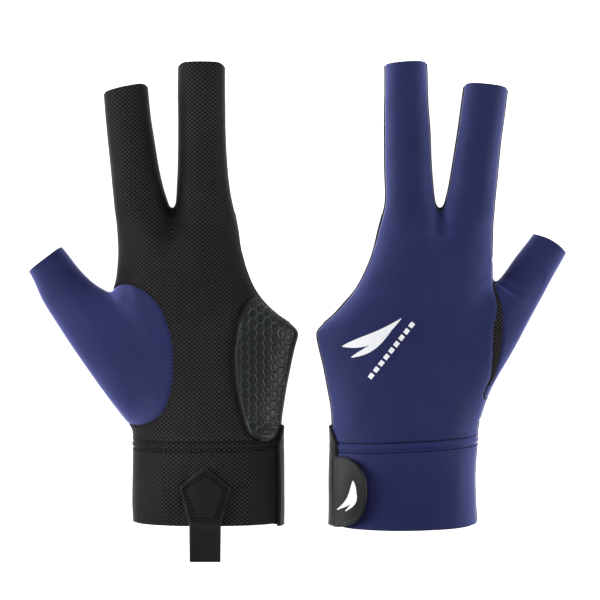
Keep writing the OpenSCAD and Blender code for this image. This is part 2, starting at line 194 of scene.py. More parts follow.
def section(y, left, right, tall, floor_z, n, dip=None):
    """One ring across a sleeve or the hand; its underside is flattened where it rests."""
    ring = []
    mid = floor_z + UNDER_SHARE * tall
    for j in range(n):
        u, v = ellipse_point(2 * math.pi * j / n)
        x = (left + right) / 2 + (right - left) / 2 * u
        pinch = dip(x) if dip else 1.0
        if v >= 0:
            z = mid + OVER_SHARE * tall * v * pinch
        else:
            z = max(floor_z, mid + (UNDER_SHARE * tall + SINK * pinch) * v * pinch)
        ring.append((x, y, z))
    return ring


def loft(rings):
    """A closed mesh through rings of equal length."""
    n = len(rings[0])
    points = [p for r in rings for p in r]
    faces = []
    for i in range(len(rings) - 1):
        for j in range(n):
            k = (j + 1) % n
            faces.append((i * n + j, i * n + k, (i + 1) * n + k, (i + 1) * n + j))
    faces.append(tuple(range(n - 1, -1, -1)))
    faces.append(tuple((len(rings) - 1) * n + j for j in range(n)))
    return points, faces


def hand_loft(g):
    depth = curve([(20, 0), (30, 0.12), (38, 0.42), (44, 0.8), (48, 0.96)])
    rings = []
    for y in np.arange(HEM_Y - 6, KNUCKLE_Y + 0.6, 1.5):
        def dip(x, y=y):
            return 1 - float(depth(y)) * math.exp(-((x - SPLIT_X[g]) / 5.0) ** 2)
        rings.append(section(y, left_line[g](y), right_line[g](y), height(y), low(g, y), 96, dip))
    return loft(rings)


def sleeve_loft(g, table, tip):
    left, right = columns(table[g], 1), columns(table[g], 2)
    rings = []
    for y in np.linspace(43, tip + 5, 34):
        rings.append(section(y, left(y), right(y), height(y), low(g, y), 48))
    return loft(rings)


def thumb_loft(g):
    table = THUMB[g]
    axes = [[(i, r[a][b]) for i, r in enumerate(table)] for a in (0, 1) for b in (0, 1)]
    ox, oy, ix, iy = [curve(a) for a in axes]
    tall = curve([(i, r[2]) for i, r in enumerate(table)])
    rings = []
    for t in np.linspace(0, len(table) - 1, 40):
        o = Vector((float(ox(t)), float(oy(t))))
        i = Vector((float(ix(t)), float(iy(t))))
        c, w = (o + i) / 2, (i - o) / 2
        floor_z = float(low(g, max(c.y, -50))) if t > 4 else float(low(g, c.y)) * t / 4
        ring = []
        mid = floor_z + 0.5 * float(tall(t))
        for j in range(56):
            u, v = ellipse_point(2 * math.pi * j / 56)
            p = c + w * u
            half = 0.5 * float(tall(t))
            z = mid + half * v if v > 0 else max(floor_z, mid + (half + SINK) * v)
            ring.append((p.x, p.y, z))
        rings.append(ring)
    return loft(rings)


# ---------------------------------------------------------------- mesh helpers
def mesh_object(name, points, faces):
    data = bpy.data.meshes.new(name)
    data.from_pydata([tuple(p) for p in points], [], [tuple(f) for f in faces])
    data.validate()
    data.update()
    obj = bpy.data.objects.new(name, data)
    bpy.context.scene.collection.objects.link(obj)
    return obj


def recalc(obj):
    bm = bmesh.new()
    bm.from_mesh(obj.data)
    bmesh.ops.remove_doubles(bm, verts=bm.verts, dist=1e-7)
    bmesh.ops.recalc_face_normals(bm, faces=bm.faces)
    bm.to_mesh(obj.data)
    bm.free()


def apply_modifiers(obj):
    bpy.ops.object.select_all(action="DESELECT")
    bpy.context.view_layer.objects.active = obj
    obj.select_set(True)
    for m in list(obj.modifiers):
        bpy.ops.object.modifier_apply(modifier=m.name)
    obj.select_set(False)


def arrays(obj):
    """Points and triangles of an object as arrays."""
    bm = bmesh.new()
    bm.from_mesh(obj.data)
    bmesh.ops.triangulate(bm, faces=bm.faces)
    points = np.array([v.co[:] for v in bm.verts])
    tris = np.array([[v.index for v in f.verts] for f in bm.faces])
    bm.free()
    return points, tris


def vertex_normals(points, tris):
    a, b, c = points[tris[:, 0]], points[tris[:, 1]], points[tris[:, 2]]
    face = np.cross(b - a, c - a)
    normal = np.zeros_like(points)
    for k in range(3):
        np.add.at(normal, tris[:, k], face)
    length = np.linalg.norm(normal, axis=1, keepdims=True)
    return normal / np.maximum(length, 1e-12)


def filled_glove(g):
    """The cloth as one closed surface, as if a hand filled it: lofts joined, remeshed and smoothed."""
    points, faces = [], []
    for p, f in (hand_loft(g), sleeve_loft(g, INDEX, INDEX_TIP[g]), sleeve_loft(g, MIDDLE, MIDDLE_TIP),
                 thumb_loft(g)):
        base = len(points)
        part = mesh_object("part", p, f)
        recalc(part)
        points += [v.co[:] for v in part.data.vertices]
        faces += [[base + i for i in q.vertices] for q in part.data.polygons]
        bpy.data.objects.remove(part)
    glove = mesh_object("filled", points, faces)
    remesh = glove.modifiers.new("remesh", "REMESH")
    remesh.mode = "VOXEL"
    remesh.voxel_size = VOXEL
    smooth = glove.modifiers.new("smooth", "SMOOTH")
    smooth.factor = 0.5
    smooth.iterations = 14
    apply_modifiers(glove)
    out = arrays(glove)
    bpy.data.objects.remove(glove)
    return out


# ---------------------------------------------------------------- cutting the surface along its seams
def cut(points, tris, f):
    """Split triangles where f changes sign; points close to the line move onto it first."""
    value = f(points)
    step = 0.05
    slope = np.stack([(f(points + step * np.eye(3)[k]) - value) / step for k in range(3)], axis=1)
    size = np.maximum(np.linalg.norm(slope, axis=1), 1e-6)
    near = (np.abs(value) < 0.22 * size * VOXEL) & (size > 0.2)
    points = points.copy()
    points[near] -= slope[near] * (value[near] / size[near] ** 2)[:, None]
    value = np.where(near, 0.0, value)
    sign = np.sign(value).astype(int)
    s = sign[tris]
    mixed = (s.min(axis=1) < 0) & (s.max(axis=1) > 0)
    keep, extra, made = [], [], {}

    def between(i, j):
        key = (min(i, j), max(i, j))
        if key not in made:
            i, j = key
            t = value[i] / (value[i] - value[j])
            made[key] = len(points) + len(extra)
            extra.append(points[i] + (points[j] - points[i]) * t)
        return made[key]

    for t in tris[mixed]:
        t = [int(i) for i in t]
        k = [int(sign[i]) for i in t]
        if 0 in k:
            z = k.index(0)
            a, b, c = t[z], t[(z + 1) % 3], t[(z + 2) % 3]
            m = between(b, c)
            keep += [(a, b, m), (a, m, c)]
        else:
            lone = [i for i in range(3) if k[i] != k[(i + 1) % 3] and k[i] != k[(i + 2) % 3]][0]
            a, b, c = t[lone], t[(lone + 1) % 3], t[(lone + 2) % 3]
            ab, ac = between(a, b), between(a, c)
            keep += [(a, ab, ac), (ab, b, c), (ab, c, ac)]
    if extra:
        points = np.vstack([points, np.array(extra)])
    if keep:
        tris = np.vstack([tris[~mixed], np.array(keep)])
    return points, tris


def distance_to_outline(points, outline):
    """Signed distance in plan from a closed outline, positive inside."""
    p = points[:, :2]
    poly = np.array(outline, float)
    best = np.full(len(p), 1e9)
    inside = np.zeros(len(p), bool)
    for i in range(len(poly)):
        a, b = poly[i - 1], poly[i]
        d = b - a
        t = np.clip(((p - a) @ d) / (d @ d), 0, 1)
        best = np.minimum(best, np.linalg.norm(p - a - t[:, None] * d, axis=1))
        crosses = (a[1] > p[:, 1]) != (b[1] > p[:, 1])
        x = a[0] + (p[:, 1] - a[1]) / (b[1] - a[1] if b[1] != a[1] else 1e-9) * d[0]
        inside ^= crosses & (p[:, 0] < x)
    return np.where(inside, best, -best)


def smooth_outline(outline, steps=6):
    """Round a closed outline with a Catmull-Rom curve."""
    n = len(outline)
    out = []
    for i in range(n):
        p = [np.array(outline[(i + k - 1) % n], float) for k in range(4)]
        for s in range(steps):
            t = s / steps
            out.append(0.5 * (2 * p[1] + (p[2] - p[0]) * t + (2 * p[0] - 5 * p[1] + 4 * p[2] - p[3]) * t * t
                              + (3 * p[1] - p[0] - 3 * p[2] + p[3]) * t ** 3))
    return out


# ---------------------------------------------------------------- the glove's own shape
# Folds in the cloth: layer (1 palm, -1 back), centre, direction in degrees, half length, half width, height
FOLDS = (
    [(1, -31, 16, 100, 12, 2.2, 0.35), (1, -38, 6, 155, 5, 1.6, 0.3),
     (1, -6, -84, 80, 12, 2.4, -0.45), (1, -17, -80, 100, 10, 2.0, 0.35), (1, 22, -70, 85, 12, 2.6, 0.3),
     (1, 0, 34, 95, 12, 3.0, 0.35), (1, 6, -30, 70, 30, 6, 0.5), (1, -4, -10, 110, 30, 6, -0.4)],
    [(-1, -46, 11.5, 22, 7, 1.2, 0.45), (-1, -45, 7.5, 42, 7, 1.2, 0.4), (-1, -46, 9.5, 32, 6, 1.0, -0.35),
     (-1, -33, 12, 140, 5, 1.1, 0.25),
     (-1, 20, -78, 80, 14, 3, 0.35), (-1, -22, -80, 95, 14, 3, 0.3), (-1, 4, -40, 60, 34, 7, 0.5)],
)


def bump(p, x, y, degrees, length, width):
    """A long soft mound in plan, one at its centre."""
    c, s = math.cos(math.radians(degrees)), math.sin(math.radians(degrees))
    along = (p[:, 0] - x) * c + (p[:, 1] - y) * s
    beside = (p[:, 1] - y) * c - (p[:, 0] - x) * s
    return np.exp(-(along / length) ** 2 - (beside / width) ** 2)


def swirl(p, scale, phase):
    """Smooth unevenness from a few crossed waves, about one high."""
    x, y, z = p[:, 0] / scale, p[:, 1] / scale, p[:, 2] / scale
    return (np.sin(x * 1.3 + y * 0.7 + phase) * np.sin(y * 1.1 - x * 0.5 + z + phase * 1.7)
            + 0.6 * np.sin(y * 2.3 + x * 1.9 + phase * 2.3) * np.sin(x * 2.9 - z * 1.3 + phase))


class Glove:
    """One glove: its closed surface in its own millimetres, thumb towards -X, and its place in the pair."""

    def __init__(self, g):
        self.g = g
        self.name = PREFIX[g]
        self.palm = 1 if g == PALM_UP else -1
        self.side = 1 if g == PALM_UP else -1
        lo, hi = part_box(self.name + "pull_tab")
        self.x0 = (lo[0] + hi[0]) / 2 / MM - self.side * TAB_X
        self.points, self.tris = filled_glove(g)
        self.ease()
        self.drape()
        self.cut_all()
        self.sew()
        self.tree = BVHTree.FromPolygons([Vector(p) for p in self.points],
                                         [tuple(int(i) for i in t) for t in self.tris])

    def layer(self, p):
        """1 on the palm and -1 on the back, fading through the edges."""
        z = (p[:, 2] - middle_z(self.g, p[:, 1])) / (0.5 * height(p[:, 1]))
        return np.clip(z * self.palm * 2.0, -1, 1)

    def ease(self):
        """Level the thumb's root into the palm and the sleeves into the hand, then soften both all round."""
        p = self.points
        facing = np.abs(vertex_normals(p, self.tris)[:, 2])
        side = np.clip((-4 - p[:, 0]) / 8, 0, 1)
        thumb = side * np.clip((p[:, 1] + 58) / 8, 0, 1) * np.clip((20 - p[:, 1]) / 8, 0, 1)
        knuckle = np.clip(1.4 - np.abs(p[:, 1] - KNUCKLE_Y) / 9, 0, 1)
        weight = 0.8 * np.clip((facing - 0.4) / 0.35, 0, 1) * np.maximum(thumb, knuckle)
        edges = np.vstack([self.tris[:, [0, 1]], self.tris[:, [1, 2]], self.tris[:, [2, 0]]])
        count = np.bincount(edges.ravel(), minlength=len(p))
        z = p[:, 2].copy()
        for _ in range(LEVEL_PASSES):
            total = np.bincount(edges[:, 0], z[edges[:, 1]], len(p))
            total += np.bincount(edges[:, 1], z[edges[:, 0]], len(p))
            z += weight * (total / count - z)
        p = np.column_stack([p[:, :2], z])
        weight = 0.6 * np.maximum(thumb, knuckle)[:, None]
        for _ in range(SOFTEN_PASSES):
            total = np.zeros_like(p)
            for k in range(3):
                total[:, k] = np.bincount(edges[:, 0], p[edges[:, 1], k], len(p))
                total[:, k] += np.bincount(edges[:, 1], p[edges[:, 0], k], len(p))
            p = p + weight * (total / count[:, None] - p)
        self.points = p

    def drape(self):
        """Soft folds and a little unevenness in the stretched cloth."""
        p = self.points
        n = vertex_normals(p, self.tris)
        side = self.layer(p)
        move = 0.12 * swirl(p, 9.0, 1.0 + self.g) + 0.22 * swirl(p, 21.0, 2.0 + self.g)
        for s, x, y, degrees, length, width, tall in FOLDS[self.g]:
            move += tall * np.clip(side * s, 0, 1) * bump(p, x, y, degrees, length, width)
        rests = p[:, 2] < low(self.g, p[:, 1]) + 0.4
        self.points = p + n * np.where(rests, 0.0, move)[:, None]

    # The seams, each as a function whose zero is the seam
    def palm_or_back(self, p):
        return self.palm * (p[:, 2] - middle_z(self.g, p[:, 1])) + SEAM_SIDE

    def oval(self, p):
        return distance_to_outline(p, self.oval_line)

    def thumb_back(self, p):
        return distance_to_outline(p, self.back_line)

    def strip(self, p):
        return distance_to_outline(p, self.strip_line)

    def wrist(self, p):
        return p[:, 1] - (WRIST_Y - self.droop(p))

    def channel(self, p):
        return p[:, 1] - (WRIST_Y - CHANNEL - self.droop(p))

    def droop(self, p):
        """The wrist seams run square to the arm and show a little lower on the upper layer."""
        slope = 0.045 * p[:, 0] * (1 if self.g == BACK_UP else -0.3)
        return slope + 0.10 * (p[:, 2] - middle_z(self.g, p[:, 1]))

    def knuckle(self, p):
        return p[:, 1] - KNUCKLE_Y

    def split(self, p):
        return np.where(p[:, 1] < KNUCKLE_Y - 1e-6, 1.0,
                        p[:, 0] - SPLIT_X[self.g] - 0.02 * (p[:, 1] - KNUCKLE_Y))

    def tips(self, p):
        left = p[:, 0] < SPLIT_X[self.g] - 2
        centre = np.where(left, self.index_centre, self.middle_centre)
        tip = np.where(left, INDEX_TIP[self.g], MIDDLE_TIP)
        tilt = np.where(left, TIP_TILT[self.g][0], TIP_TILT[self.g][1])
        half = np.where(left, 10.5, 10.8)
        u = (p[:, 0] - centre) / half
        corner = np.clip((np.abs(u) - 0.76) / 0.24, 0, 1)
        return tip - tilt * (p[:, 0] - centre) - 0.4 * u * u - 1.7 * corner ** 2 - p[:, 1]

    def thumb_tip(self, p):
        outer, inner = self.thumb_end
        along = (inner - outer).normalized()
        out = Vector((-along.y, along.x))
        d = (p[:, 0] - outer.x) * out.x + (p[:, 1] - outer.y) * out.y
        s = ((p[:, 0] - outer.x) * along.x + (p[:, 1] - outer.y) * along.y) / (inner - outer).length
        swell = THUMB_SWELL[self.g] * (1 - (2 * s - 1) ** 2)
        return np.where((p[:, 0] < -48) & (p[:, 1] > 0), swell - d, 1.0)

    def hem(self, p):
        return p[:, 1] - (HEM_Y + 1.4 - HEM_LEAN[self.g] * (p[:, 2] - middle_z(self.g, p[:, 1])))

    def mouth(self, p):
        t = np.clip((p[:, 1] + 7) / 52, 0, 1)
        gap = 3.4 * np.sin(math.pi * t) - 0.02
        near = p[:, 0] > right_line[self.g](p[:, 1]) - 9
        return np.where(near, np.abs(p[:, 2] - middle_z(self.g, p[:, 1])) - gap, 1.0)

    def lines(self):
        """Seam outlines in plan, placed for this glove."""
        thumb_x = 2.0 if self.g == BACK_UP else 0.0
        palm_side = [(x + (thumb_x if x > -35 else 0), y + thumb_x * 0.8) for x, y in OVAL]
        self.oval_line = smooth_outline(palm_side + OVAL_OUTSIDE[self.g])
        end_x = float(left_line[self.g](-41)) - 3.5
        crotch = (-40.6, 10.2) if self.g == PALM_UP else (-39.0, 13.6)
        outside = [(end_x - 30, -46), (-110, -10), (-95, 50), (-58, 46), (-46, 24)]
        edge = [(-42.6, 2), (-43.0, -8), (-42.4, -18), (-40.0, -30), (end_x, -41)]
        inner = [(-40.4, 2), (-38.8, -8), (-38.4, -18), (-37.6, -30), (end_x + 0.6, -42)]
        self.back_line = smooth_outline([(crotch[0] - 0.6, crotch[1])] + edge + outside)
        self.strip_line = smooth_outline([crotch] + inner + outside)
        self.thumb_end = (Vector(THUMB[self.g][1][0]), Vector(THUMB[self.g][1][1]))
        self.index_centre = (INDEX[self.g][-1][1] + INDEX[self.g][-1][2]) / 2 + 0.6
        self.middle_centre = (MIDDLE[self.g][-1][1] + MIDDLE[self.g][-1][2]) / 2

    def cut_all(self):
        self.lines()
        seams = (self.palm_or_back, self.oval, self.thumb_back, self.strip, self.wrist, self.channel,
                 self.knuckle,
                 self.split, self.tips, self.thumb_tip, self.hem, self.mouth)
        for f in seams:
            self.points, self.tris = cut(self.points, self.tris, f)
        c = self.points[self.tris].mean(axis=1)
        y = c[:, 1]
        palm = self.palm_or_back(c) > 0
        gone = (self.tips(c) < 0) & (y > 80)
        gone |= (self.thumb_tip(c) < 0) | (self.hem(c) < 0) | (self.mouth(c) < 0)
        finger = y > KNUCKLE_Y
        thumb_zone = (c[:, 0] < -8) & (y < 47) & (y > -56)
        thumb = thumb_zone & np.where(palm, self.oval(c) > 0, self.thumb_back(c) > 0)
        strip = thumb_zone & ~palm & ~thumb & (self.strip(c) > 0)
        self.part = np.where(palm, "palm_panel", "back_panel").astype("U16")
        self.part[strip] = "thumb_gusset"
        self.part[self.wrist(c) < 0] = "band"
        self.part[self.channel(c) < 0] = "cuff"
        for kind in ("band", "cuff"):
            here = self.part == kind
            self.part[here] = np.where(palm[here], kind + "_palm", kind + "_back")
        self.part[thumb] = "thumb"
        index = finger & (self.split(c) < 0)
        middle = finger & ~index
        self.part[index] = np.where(palm[index], "index_palm", "index_back")
        self.part[middle] = np.where(palm[middle], "middle_palm", "middle_back")
        self.part[gone] = "gone"

    def sew(self):
        """Pull the cloth in along every seam, and raise the elastic's channel between its two seams."""
        p = self.points
        n = vertex_normals(p, self.tris)
        one_cloth = {"index_palm": "palm_panel", "middle_palm": "palm_panel", "index_back": "back_panel",
                     "middle_back": "back_panel"}
        cloth = np.array([one_cloth.get(str(k), str(k)) for k in self.part])
        touched = np.zeros(len(p), int)
        for kind in set(cloth) - {"gone"}:
            mark = np.zeros(len(p), int)
            mark[self.tris[cloth == kind].ravel()] = 1
            touched += mark
        seam = touched > 1
        reach = spread(p, self.tris, seam, 2.2)
        groove = 0.34 * np.exp(-(reach / 0.8) ** 2)
        wide = (self.wrist(p) < 0) & (self.channel(p) > 0)
        mid = (self.wrist(p) + self.channel(p)) / 2
        raised = np.where(wide, 0.35 * np.cos(np.clip(mid / CHANNEL, -0.5, 0.5) * math.pi), 0.0)
        self.points = p + n * (raised - groove)[:, None]

    def world(self, p):
        return ((self.x0 + self.side * p[0]) * MM, p[1] * MM, p[2] * MM)


def spread(p, tris, start, limit):
    """Distance along the mesh from the marked points, up to a limit."""
    far = np.where(start, 0.0, limit)
    edges = np.vstack([tris[:, [0, 1]], tris[:, [1, 2]], tris[:, [2, 0]]])
    length = np.linalg.norm(p[edges[:, 0]] - p[edges[:, 1]], axis=1)
    for _ in range(6):
        for a, b in ((0, 1), (1, 0)):
            np.minimum.at(far, edges[:, b], far[edges[:, a]] + length)
    return far


# ---------------------------------------------------------------- from surface to pieces
def side_steps(p, c, w, half, mid):
    """Distance round a section from its middle, so that a pattern keeps its size down the sides."""
    x = p[:, 0] - c
    ramp = np.clip((np.abs(x) / w - 0.55) / 0.3, 0, 1)
    drop = np.clip(half - np.abs(p[:, 2] - mid), 0, None)
    return c + np.sign(x) * (np.abs(x) + 0.8 * ramp * drop)


def weave_uv(glove, p):
    """Where each point lies on the flat cloth, in metres: across, then along."""
    g = glove.g
    y = p[:, 1]
    mid, half = middle_z(g, y), 0.5 * height(y)
    l, r = left_line[g](y), right_line[g](y)
    hand = side_steps(p, (l + r) / 2, (r - l) / 2, half, mid)
    index = p[:, 0] < SPLIT_X[g]
    table = [(columns(INDEX[g], 1), columns(INDEX[g], 2)), (columns(MIDDLE[g], 1), columns(MIDDLE[g], 2))]
    l = np.where(index, table[0][0](y), table[1][0](y))
    r = np.where(index, table[0][1](y), table[1][1](y))
    sleeve = side_steps(p, (l + r) / 2, (r - l) / 2, half, mid)
    t = np.clip((y - 30) / 16, 0, 1)
    t = t * t * (3 - 2 * t)
    u = hand * (1 - t) + sleeve * t
    return np.stack([u, y], axis=1) * MM


def set_uv(obj, uv):
    layer = obj.data.uv_layers.new(name="weave")
    index = np.empty(len(obj.data.loops), int)
    obj.data.loops.foreach_get("vertex_index", index)
    layer.data.foreach_set("uv", uv[index].ravel().astype(np.float32))


def smooth(obj, degrees=42):
    bpy.ops.object.select_all(action="DESELECT")
    bpy.context.view_layer.objects.active = obj
    obj.select_set(True)
    bpy.ops.object.shade_smooth_by_angle(angle=math.radians(degrees))
    obj.select_set(False)


def cloth_piece(glove, names, piece, thick=CLOTH):
    """One panel: the triangles of the named parts, with the cloth's thickness on the inside."""
    chosen = np.isin(glove.part, names)
    tris = glove.tris[chosen]
    used = np.unique(tris)
    renumber = np.full(len(glove.points), -1)
    renumber[used] = np.arange(len(used))
    tris = renumber[tris]
    if glove.side < 0:
        tris = tris[:, ::-1]
    obj = mesh_object(glove.name + piece, [glove.world(p) for p in glove.points[used]], tris.tolist())
    wall = obj.modifiers.new("wall", "SOLIDIFY")
    wall.thickness = thick * MM
    wall.offset = -1
    wall.use_even_offset = False
    apply_modifiers(obj)
    local = np.array([v.co[:] for v in obj.data.vertices]) / MM
    local[:, 0] = (local[:, 0] - glove.x0) * glove.side
    set_uv(obj, weave_uv(glove, local))
    smooth(obj)
    return obj


# ---------------------------------------------------------------- what is laid or sewn on the cloth
def cast(glove, x, y, palm):
    """The point and outward normal above (x, y) on the palm layer or on the back layer."""
    s = glove.palm if palm else -glove.palm
    hit, normal, _, _ = glove.tree.ray_cast(Vector((x, y, 120 * s)), Vector((0, 0, -s)))
    if hit is None:
        hit = Vector((x, y, float(middle_z(glove.g, y))))
        normal = Vector((1, 0, 0))
    return hit, normal if normal.z * s > 0 else -normal


def cast_round(glove, y, degrees):
    """The same, outwards from the arm's middle line: 0 is the bare side, and the palm is towards 90."""
    c = (float(left_line[glove.g](y)) + float(right_line[glove.g](y))) / 2
    a = math.radians(degrees)
    start = Vector((c, y, float(middle_z(glove.g, y))))
    out = Vector((math.cos(a), 0, math.sin(a) * glove.palm))
    hit, normal, _, _ = glove.tree.ray_cast(start, out)
    return hit, normal if normal.dot(out) > 0 else -normal


def row_in_plan(glove, y, x0, x1, n, palm):
    """n points across one row, evenly spaced along the cloth, with normals and with the steps along it."""
    xs = np.linspace(x0, x1, 40)
    hits = [cast(glove, float(x), y, palm)[0] for x in xs]
    steps = np.concatenate([[0], np.cumsum([(b - a).length for a, b in zip(hits, hits[1:])])])
    even = np.linspace(0, steps[-1], n)
    xs = np.interp(even, steps, xs)
    hits = [cast(glove, float(x), y, palm) for x in xs]
    return [h[0] for h in hits], [h[1] for h in hits], even


def relax(grid, times):
    """Even out a grid of vectors, keeping its rim."""
    g = np.array([[v[:] for v in row] for row in grid])
    for _ in range(times):
        g[1:-1] = g[1:-1] * 0.5 + (g[:-2] + g[2:]) * 0.25
        g[:, 1:-1] = g[:, 1:-1] * 0.5 + (g[:, :-2] + g[:, 2:]) * 0.25
    return g


def slab(glove, piece, points, normals, under, over, uv=None):
    """A closed sheet between two heights over the cloth; over may vary over the grid."""
    p = relax(points, 4)
    n = relax(normals, 8)
    n /= np.linalg.norm(n, axis=2, keepdims=True)
    rows, cols = p.shape[:2]
    top = p + n * (over if np.ndim(over) == 0 else np.asarray(over)[:, :, None])
    bottom = p + n * under
    allp = np.concatenate([top.reshape(-1, 3), bottom.reshape(-1, 3)])
    k = rows * cols
    faces = []
    for i in range(rows - 1):
        for j in range(cols - 1):
            a, b, c, d = i * cols + j, i * cols + j + 1, (i + 1) * cols + j + 1, (i + 1) * cols + j
            faces.append((a, b, c, d))
            faces.append((k + d, k + c, k + b, k + a))
    loop = [j for j in range(cols)] + [i * cols + cols - 1 for i in range(1, rows)]
    loop += [(rows - 1) * cols + j for j in range(cols - 2, -1, -1)]
    loop += [i * cols for i in range(rows - 2, 0, -1)]
    for a, b in zip(loop, loop[1:] + loop[:1]):
        faces.append((b, a, k + a, k + b))
    obj = mesh_object(glove.name + piece, [glove.world(q) for q in allp], faces)
    recalc_outward(obj)
    flat = np.array(uv).reshape(-1, 2) if uv is not None else p.reshape(-1, 3)[:, :2]
    set_uv(obj, np.concatenate([flat, flat]) * MM)
    smooth(obj)
    return obj


def recalc_outward(obj):
    bm = bmesh.new()
    bm.from_mesh(obj.data)
    bmesh.ops.recalc_face_normals(bm, faces=bm.faces)
    bm.to_mesh(obj.data)
    bm.free()


def rim_distance(points):
    """Distance from each grid point to the grid's own rim, in millimetres."""
    p = np.array([[v[:] for v in row] for row in points])
    rim = np.concatenate([p[0], p[-1], p[1:-1, 0], p[1:-1, -1]])
    flat = p.reshape(-1, 3)
    best = np.full(len(flat), 1e9)
    for q in rim:
        best = np.minimum(best, np.linalg.norm(flat - q, axis=1))
    return best.reshape(p.shape[:2])


def round_edge(distance, radius):
    """Height share of an edge that is rounded over by a radius: 0 at the rim and 1 inside."""
    t = np.clip(1 - distance / radius, 0, 1)
    return np.sqrt(1 - t * t)


def honeycomb(u, v, column, row):
    """Distance to the nearest wall of flat-topped six-sided cells, in shares of a cell."""
    x = u / column * math.sqrt(3) / 2
    y = v / row
    best = np.full(np.shape(u), 9.0)
    nearest = np.zeros((2,) + np.shape(u))
    i0 = np.round(x / (math.sqrt(3) / 2))
    for di in (-1, 0, 1):
        i = i0 + di
        cx = i * math.sqrt(3) / 2
        shift = np.where(np.mod(i, 2) == 0, 0.0, 0.5)
        cy = np.round(y - shift) + shift
        d = (x - cx) ** 2 + (y - cy) ** 2
        closer = d < best
        best = np.where(closer, d, best)
        nearest[0] = np.where(closer, x - cx, nearest[0])
        nearest[1] = np.where(closer, y - cy, nearest[1])
    dx, dy = np.abs(nearest[0]), np.abs(nearest[1])
    return 0.5 - np.maximum(dy, dx * math.sqrt(3) / 2 + dy / 2)


PAD_LEFT = curve([(-59.6, 28), (-58.6, 24.6), (-55.5, 22.2), (-42.1, 18.0), (-31, 16.2), (-20.5, 15.8),
                  (-8, 17.2), (0, 19.6),
                  (4, 21.8), (6.2, 25.2)])
PAD_TOP = 6.2
PAD_BOTTOM = -59.6


def pad_right(g, y):
    """The pad follows the bare edge of the palm, a little inside it."""
    return float(right_line[g](y)) - float(curve([(-59.6, 6), (-57, 3), (-50, 2.2), (6, 2.6)])(y))


def grip_pad(glove):
    """The embossed pad, its raised honeycomb made as real ridges."""
    rows, cols = 236, 104
    ys = np.linspace(PAD_BOTTOM, PAD_TOP, rows)
    points, normals, uv = [], [], []
    for y in ys:
        left, right = float(PAD_LEFT(y)), pad_right(glove.g, y)
        right = max(right, left + 1.0)
        p, n, steps = row_in_plan(glove, float(y), left, right, cols, True)
        points.append(p)
        normals.append(n)
        uv.append([(left + s, y) for s in steps])
    uv = np.array(uv)
    edge = rim_distance([r[::2] for r in points[::2]])
    edge = np.repeat(np.repeat(edge, 2, axis=0), 2, axis=1)[:rows, :cols]
    wall = honeycomb(uv[:, :, 0], uv[:, :, 1], 3.4, 4.3) * 4.3
    ridge = np.exp(-(wall / 0.30) ** 2)
    cushion = 0.16 * np.clip(wall / 1.6, 0, 1)
    flat = np.clip((edge - 0.7) / 0.8, 0, 1)
    over = 0.25 + 1.9 * round_edge(edge, 1.8) + flat * (0.34 * ridge + cushion - 0.1)
    pad = slab(glove, "grip_pad_cover", points, normals, 0.05, over, uv)
    layer = pad.data.attributes.new("ridge", "FLOAT", "POINT")
    value = np.concatenate([(ridge * flat).ravel(), np.zeros(rows * cols)])
    layer.data.foreach_set("value", value.astype(np.float32))
    return pad


def laid_patch(glove, piece, ys, left, right, cols, under, thick, palm, edge=0.5, lift=0.0):
    """A flat piece of leather or tape laid on the cloth, between a left and a right line."""
    points, normals, uv = [], [], []
    for y in ys:
        l, r = float(left(y)), float(right(y))
        p, n, steps = row_in_plan(glove, float(y), l, max(r, l + 0.4), cols, palm)
        points.append(p)
        normals.append(n)
        uv.append([(l + s, y) for s in steps])
    rim = rim_distance(points)
    over = under + thick * (0.45 + 0.55 * round_edge(rim, edge)) + lift * np.exp(-((rim - 1.0) / 0.5) ** 2)
    return slab(glove, piece, points, normals, under, over, uv)


def rounded_end(y0, y1, x_far, x_near):
    """The inner line of the strap's rounded end."""
    c, h = (y0 + y1) / 2, (y1 - y0) / 2

    def at(y):
        t = min(1.0, abs((y - c) / h))
        return x_far + (x_near - x_far) * (1 - (1 - t ** 2.4) ** (1 / 2.0))
    return at


FLAP_Y = (-99.0, -66.9)
FLAP_UNDER = 2.4


def strap(glove):
    """The strap: the strip folded round the cuff's edge, the rounded end, and the tapes under it."""
    shift = 0.0 if glove.g == BACK_UP else 2.2
    inner = rounded_end(FLAP_Y[0], FLAP_Y[1], 18.9 + shift, 30.5 + shift)
    root = 32.6 + shift
    ys = np.linspace(FLAP_Y[0], FLAP_Y[1], 56)
    flap = laid_patch(glove, "strap_end", ys, inner, lambda y: root, 28, FLAP_UNDER, LEATHER, False, 0.6,
                      0.16)
    ys = np.linspace(FLAP_Y[0] + 2, FLAP_Y[1] - 2, 30)
    hook = laid_patch(glove, "hook_tape", ys, lambda y: inner(y) + 1.8, lambda y: root - 2, 14, 1.3, 0.9,
                      False, 0.3)
    loop = laid_patch(glove, "loop_tape", ys, lambda y: inner(y) + 1.4, lambda y: root - 1.5, 14, 0.05, 0.9,
                      False, 0.3)
    ys = np.linspace(-98.8, -52.5, 60)
    points, normals, uv = [], [], []
    for y in ys:
        reach = float(curve([(-98.8, 1.0), (-62, 1.0), (-57, 0.72), (-52.5, 0.3)])(y))
        hits = [cast_round(glove, float(y), a) for a in np.linspace(-16.5 * reach, 14.0 * reach, 22)]
        points.append([h[0] for h in hits])
        normals.append([h[1] for h in hits])
        uv.append([(k, y) for k in range(22)])
    rim = rim_distance(points)
    over = 0.05 + LEATHER * (0.45 + 0.55 * round_edge(rim, 0.6)) + 0.18 * np.exp(-((rim - 1.0) / 0.5) ** 2)
    base = slab(glove, "strap_strip", points, normals, 0.05, over, uv)
    return flap, hook, loop, base


PATCH = [(-97.4, 7.2), (-80.7, 11.7), (-71.4, 0.5)]
TAB_CENTRE = 2.8


def patch_half(y):
    return float(np.interp(y, [p[0] for p in PATCH], [p[1] for p in PATCH]))


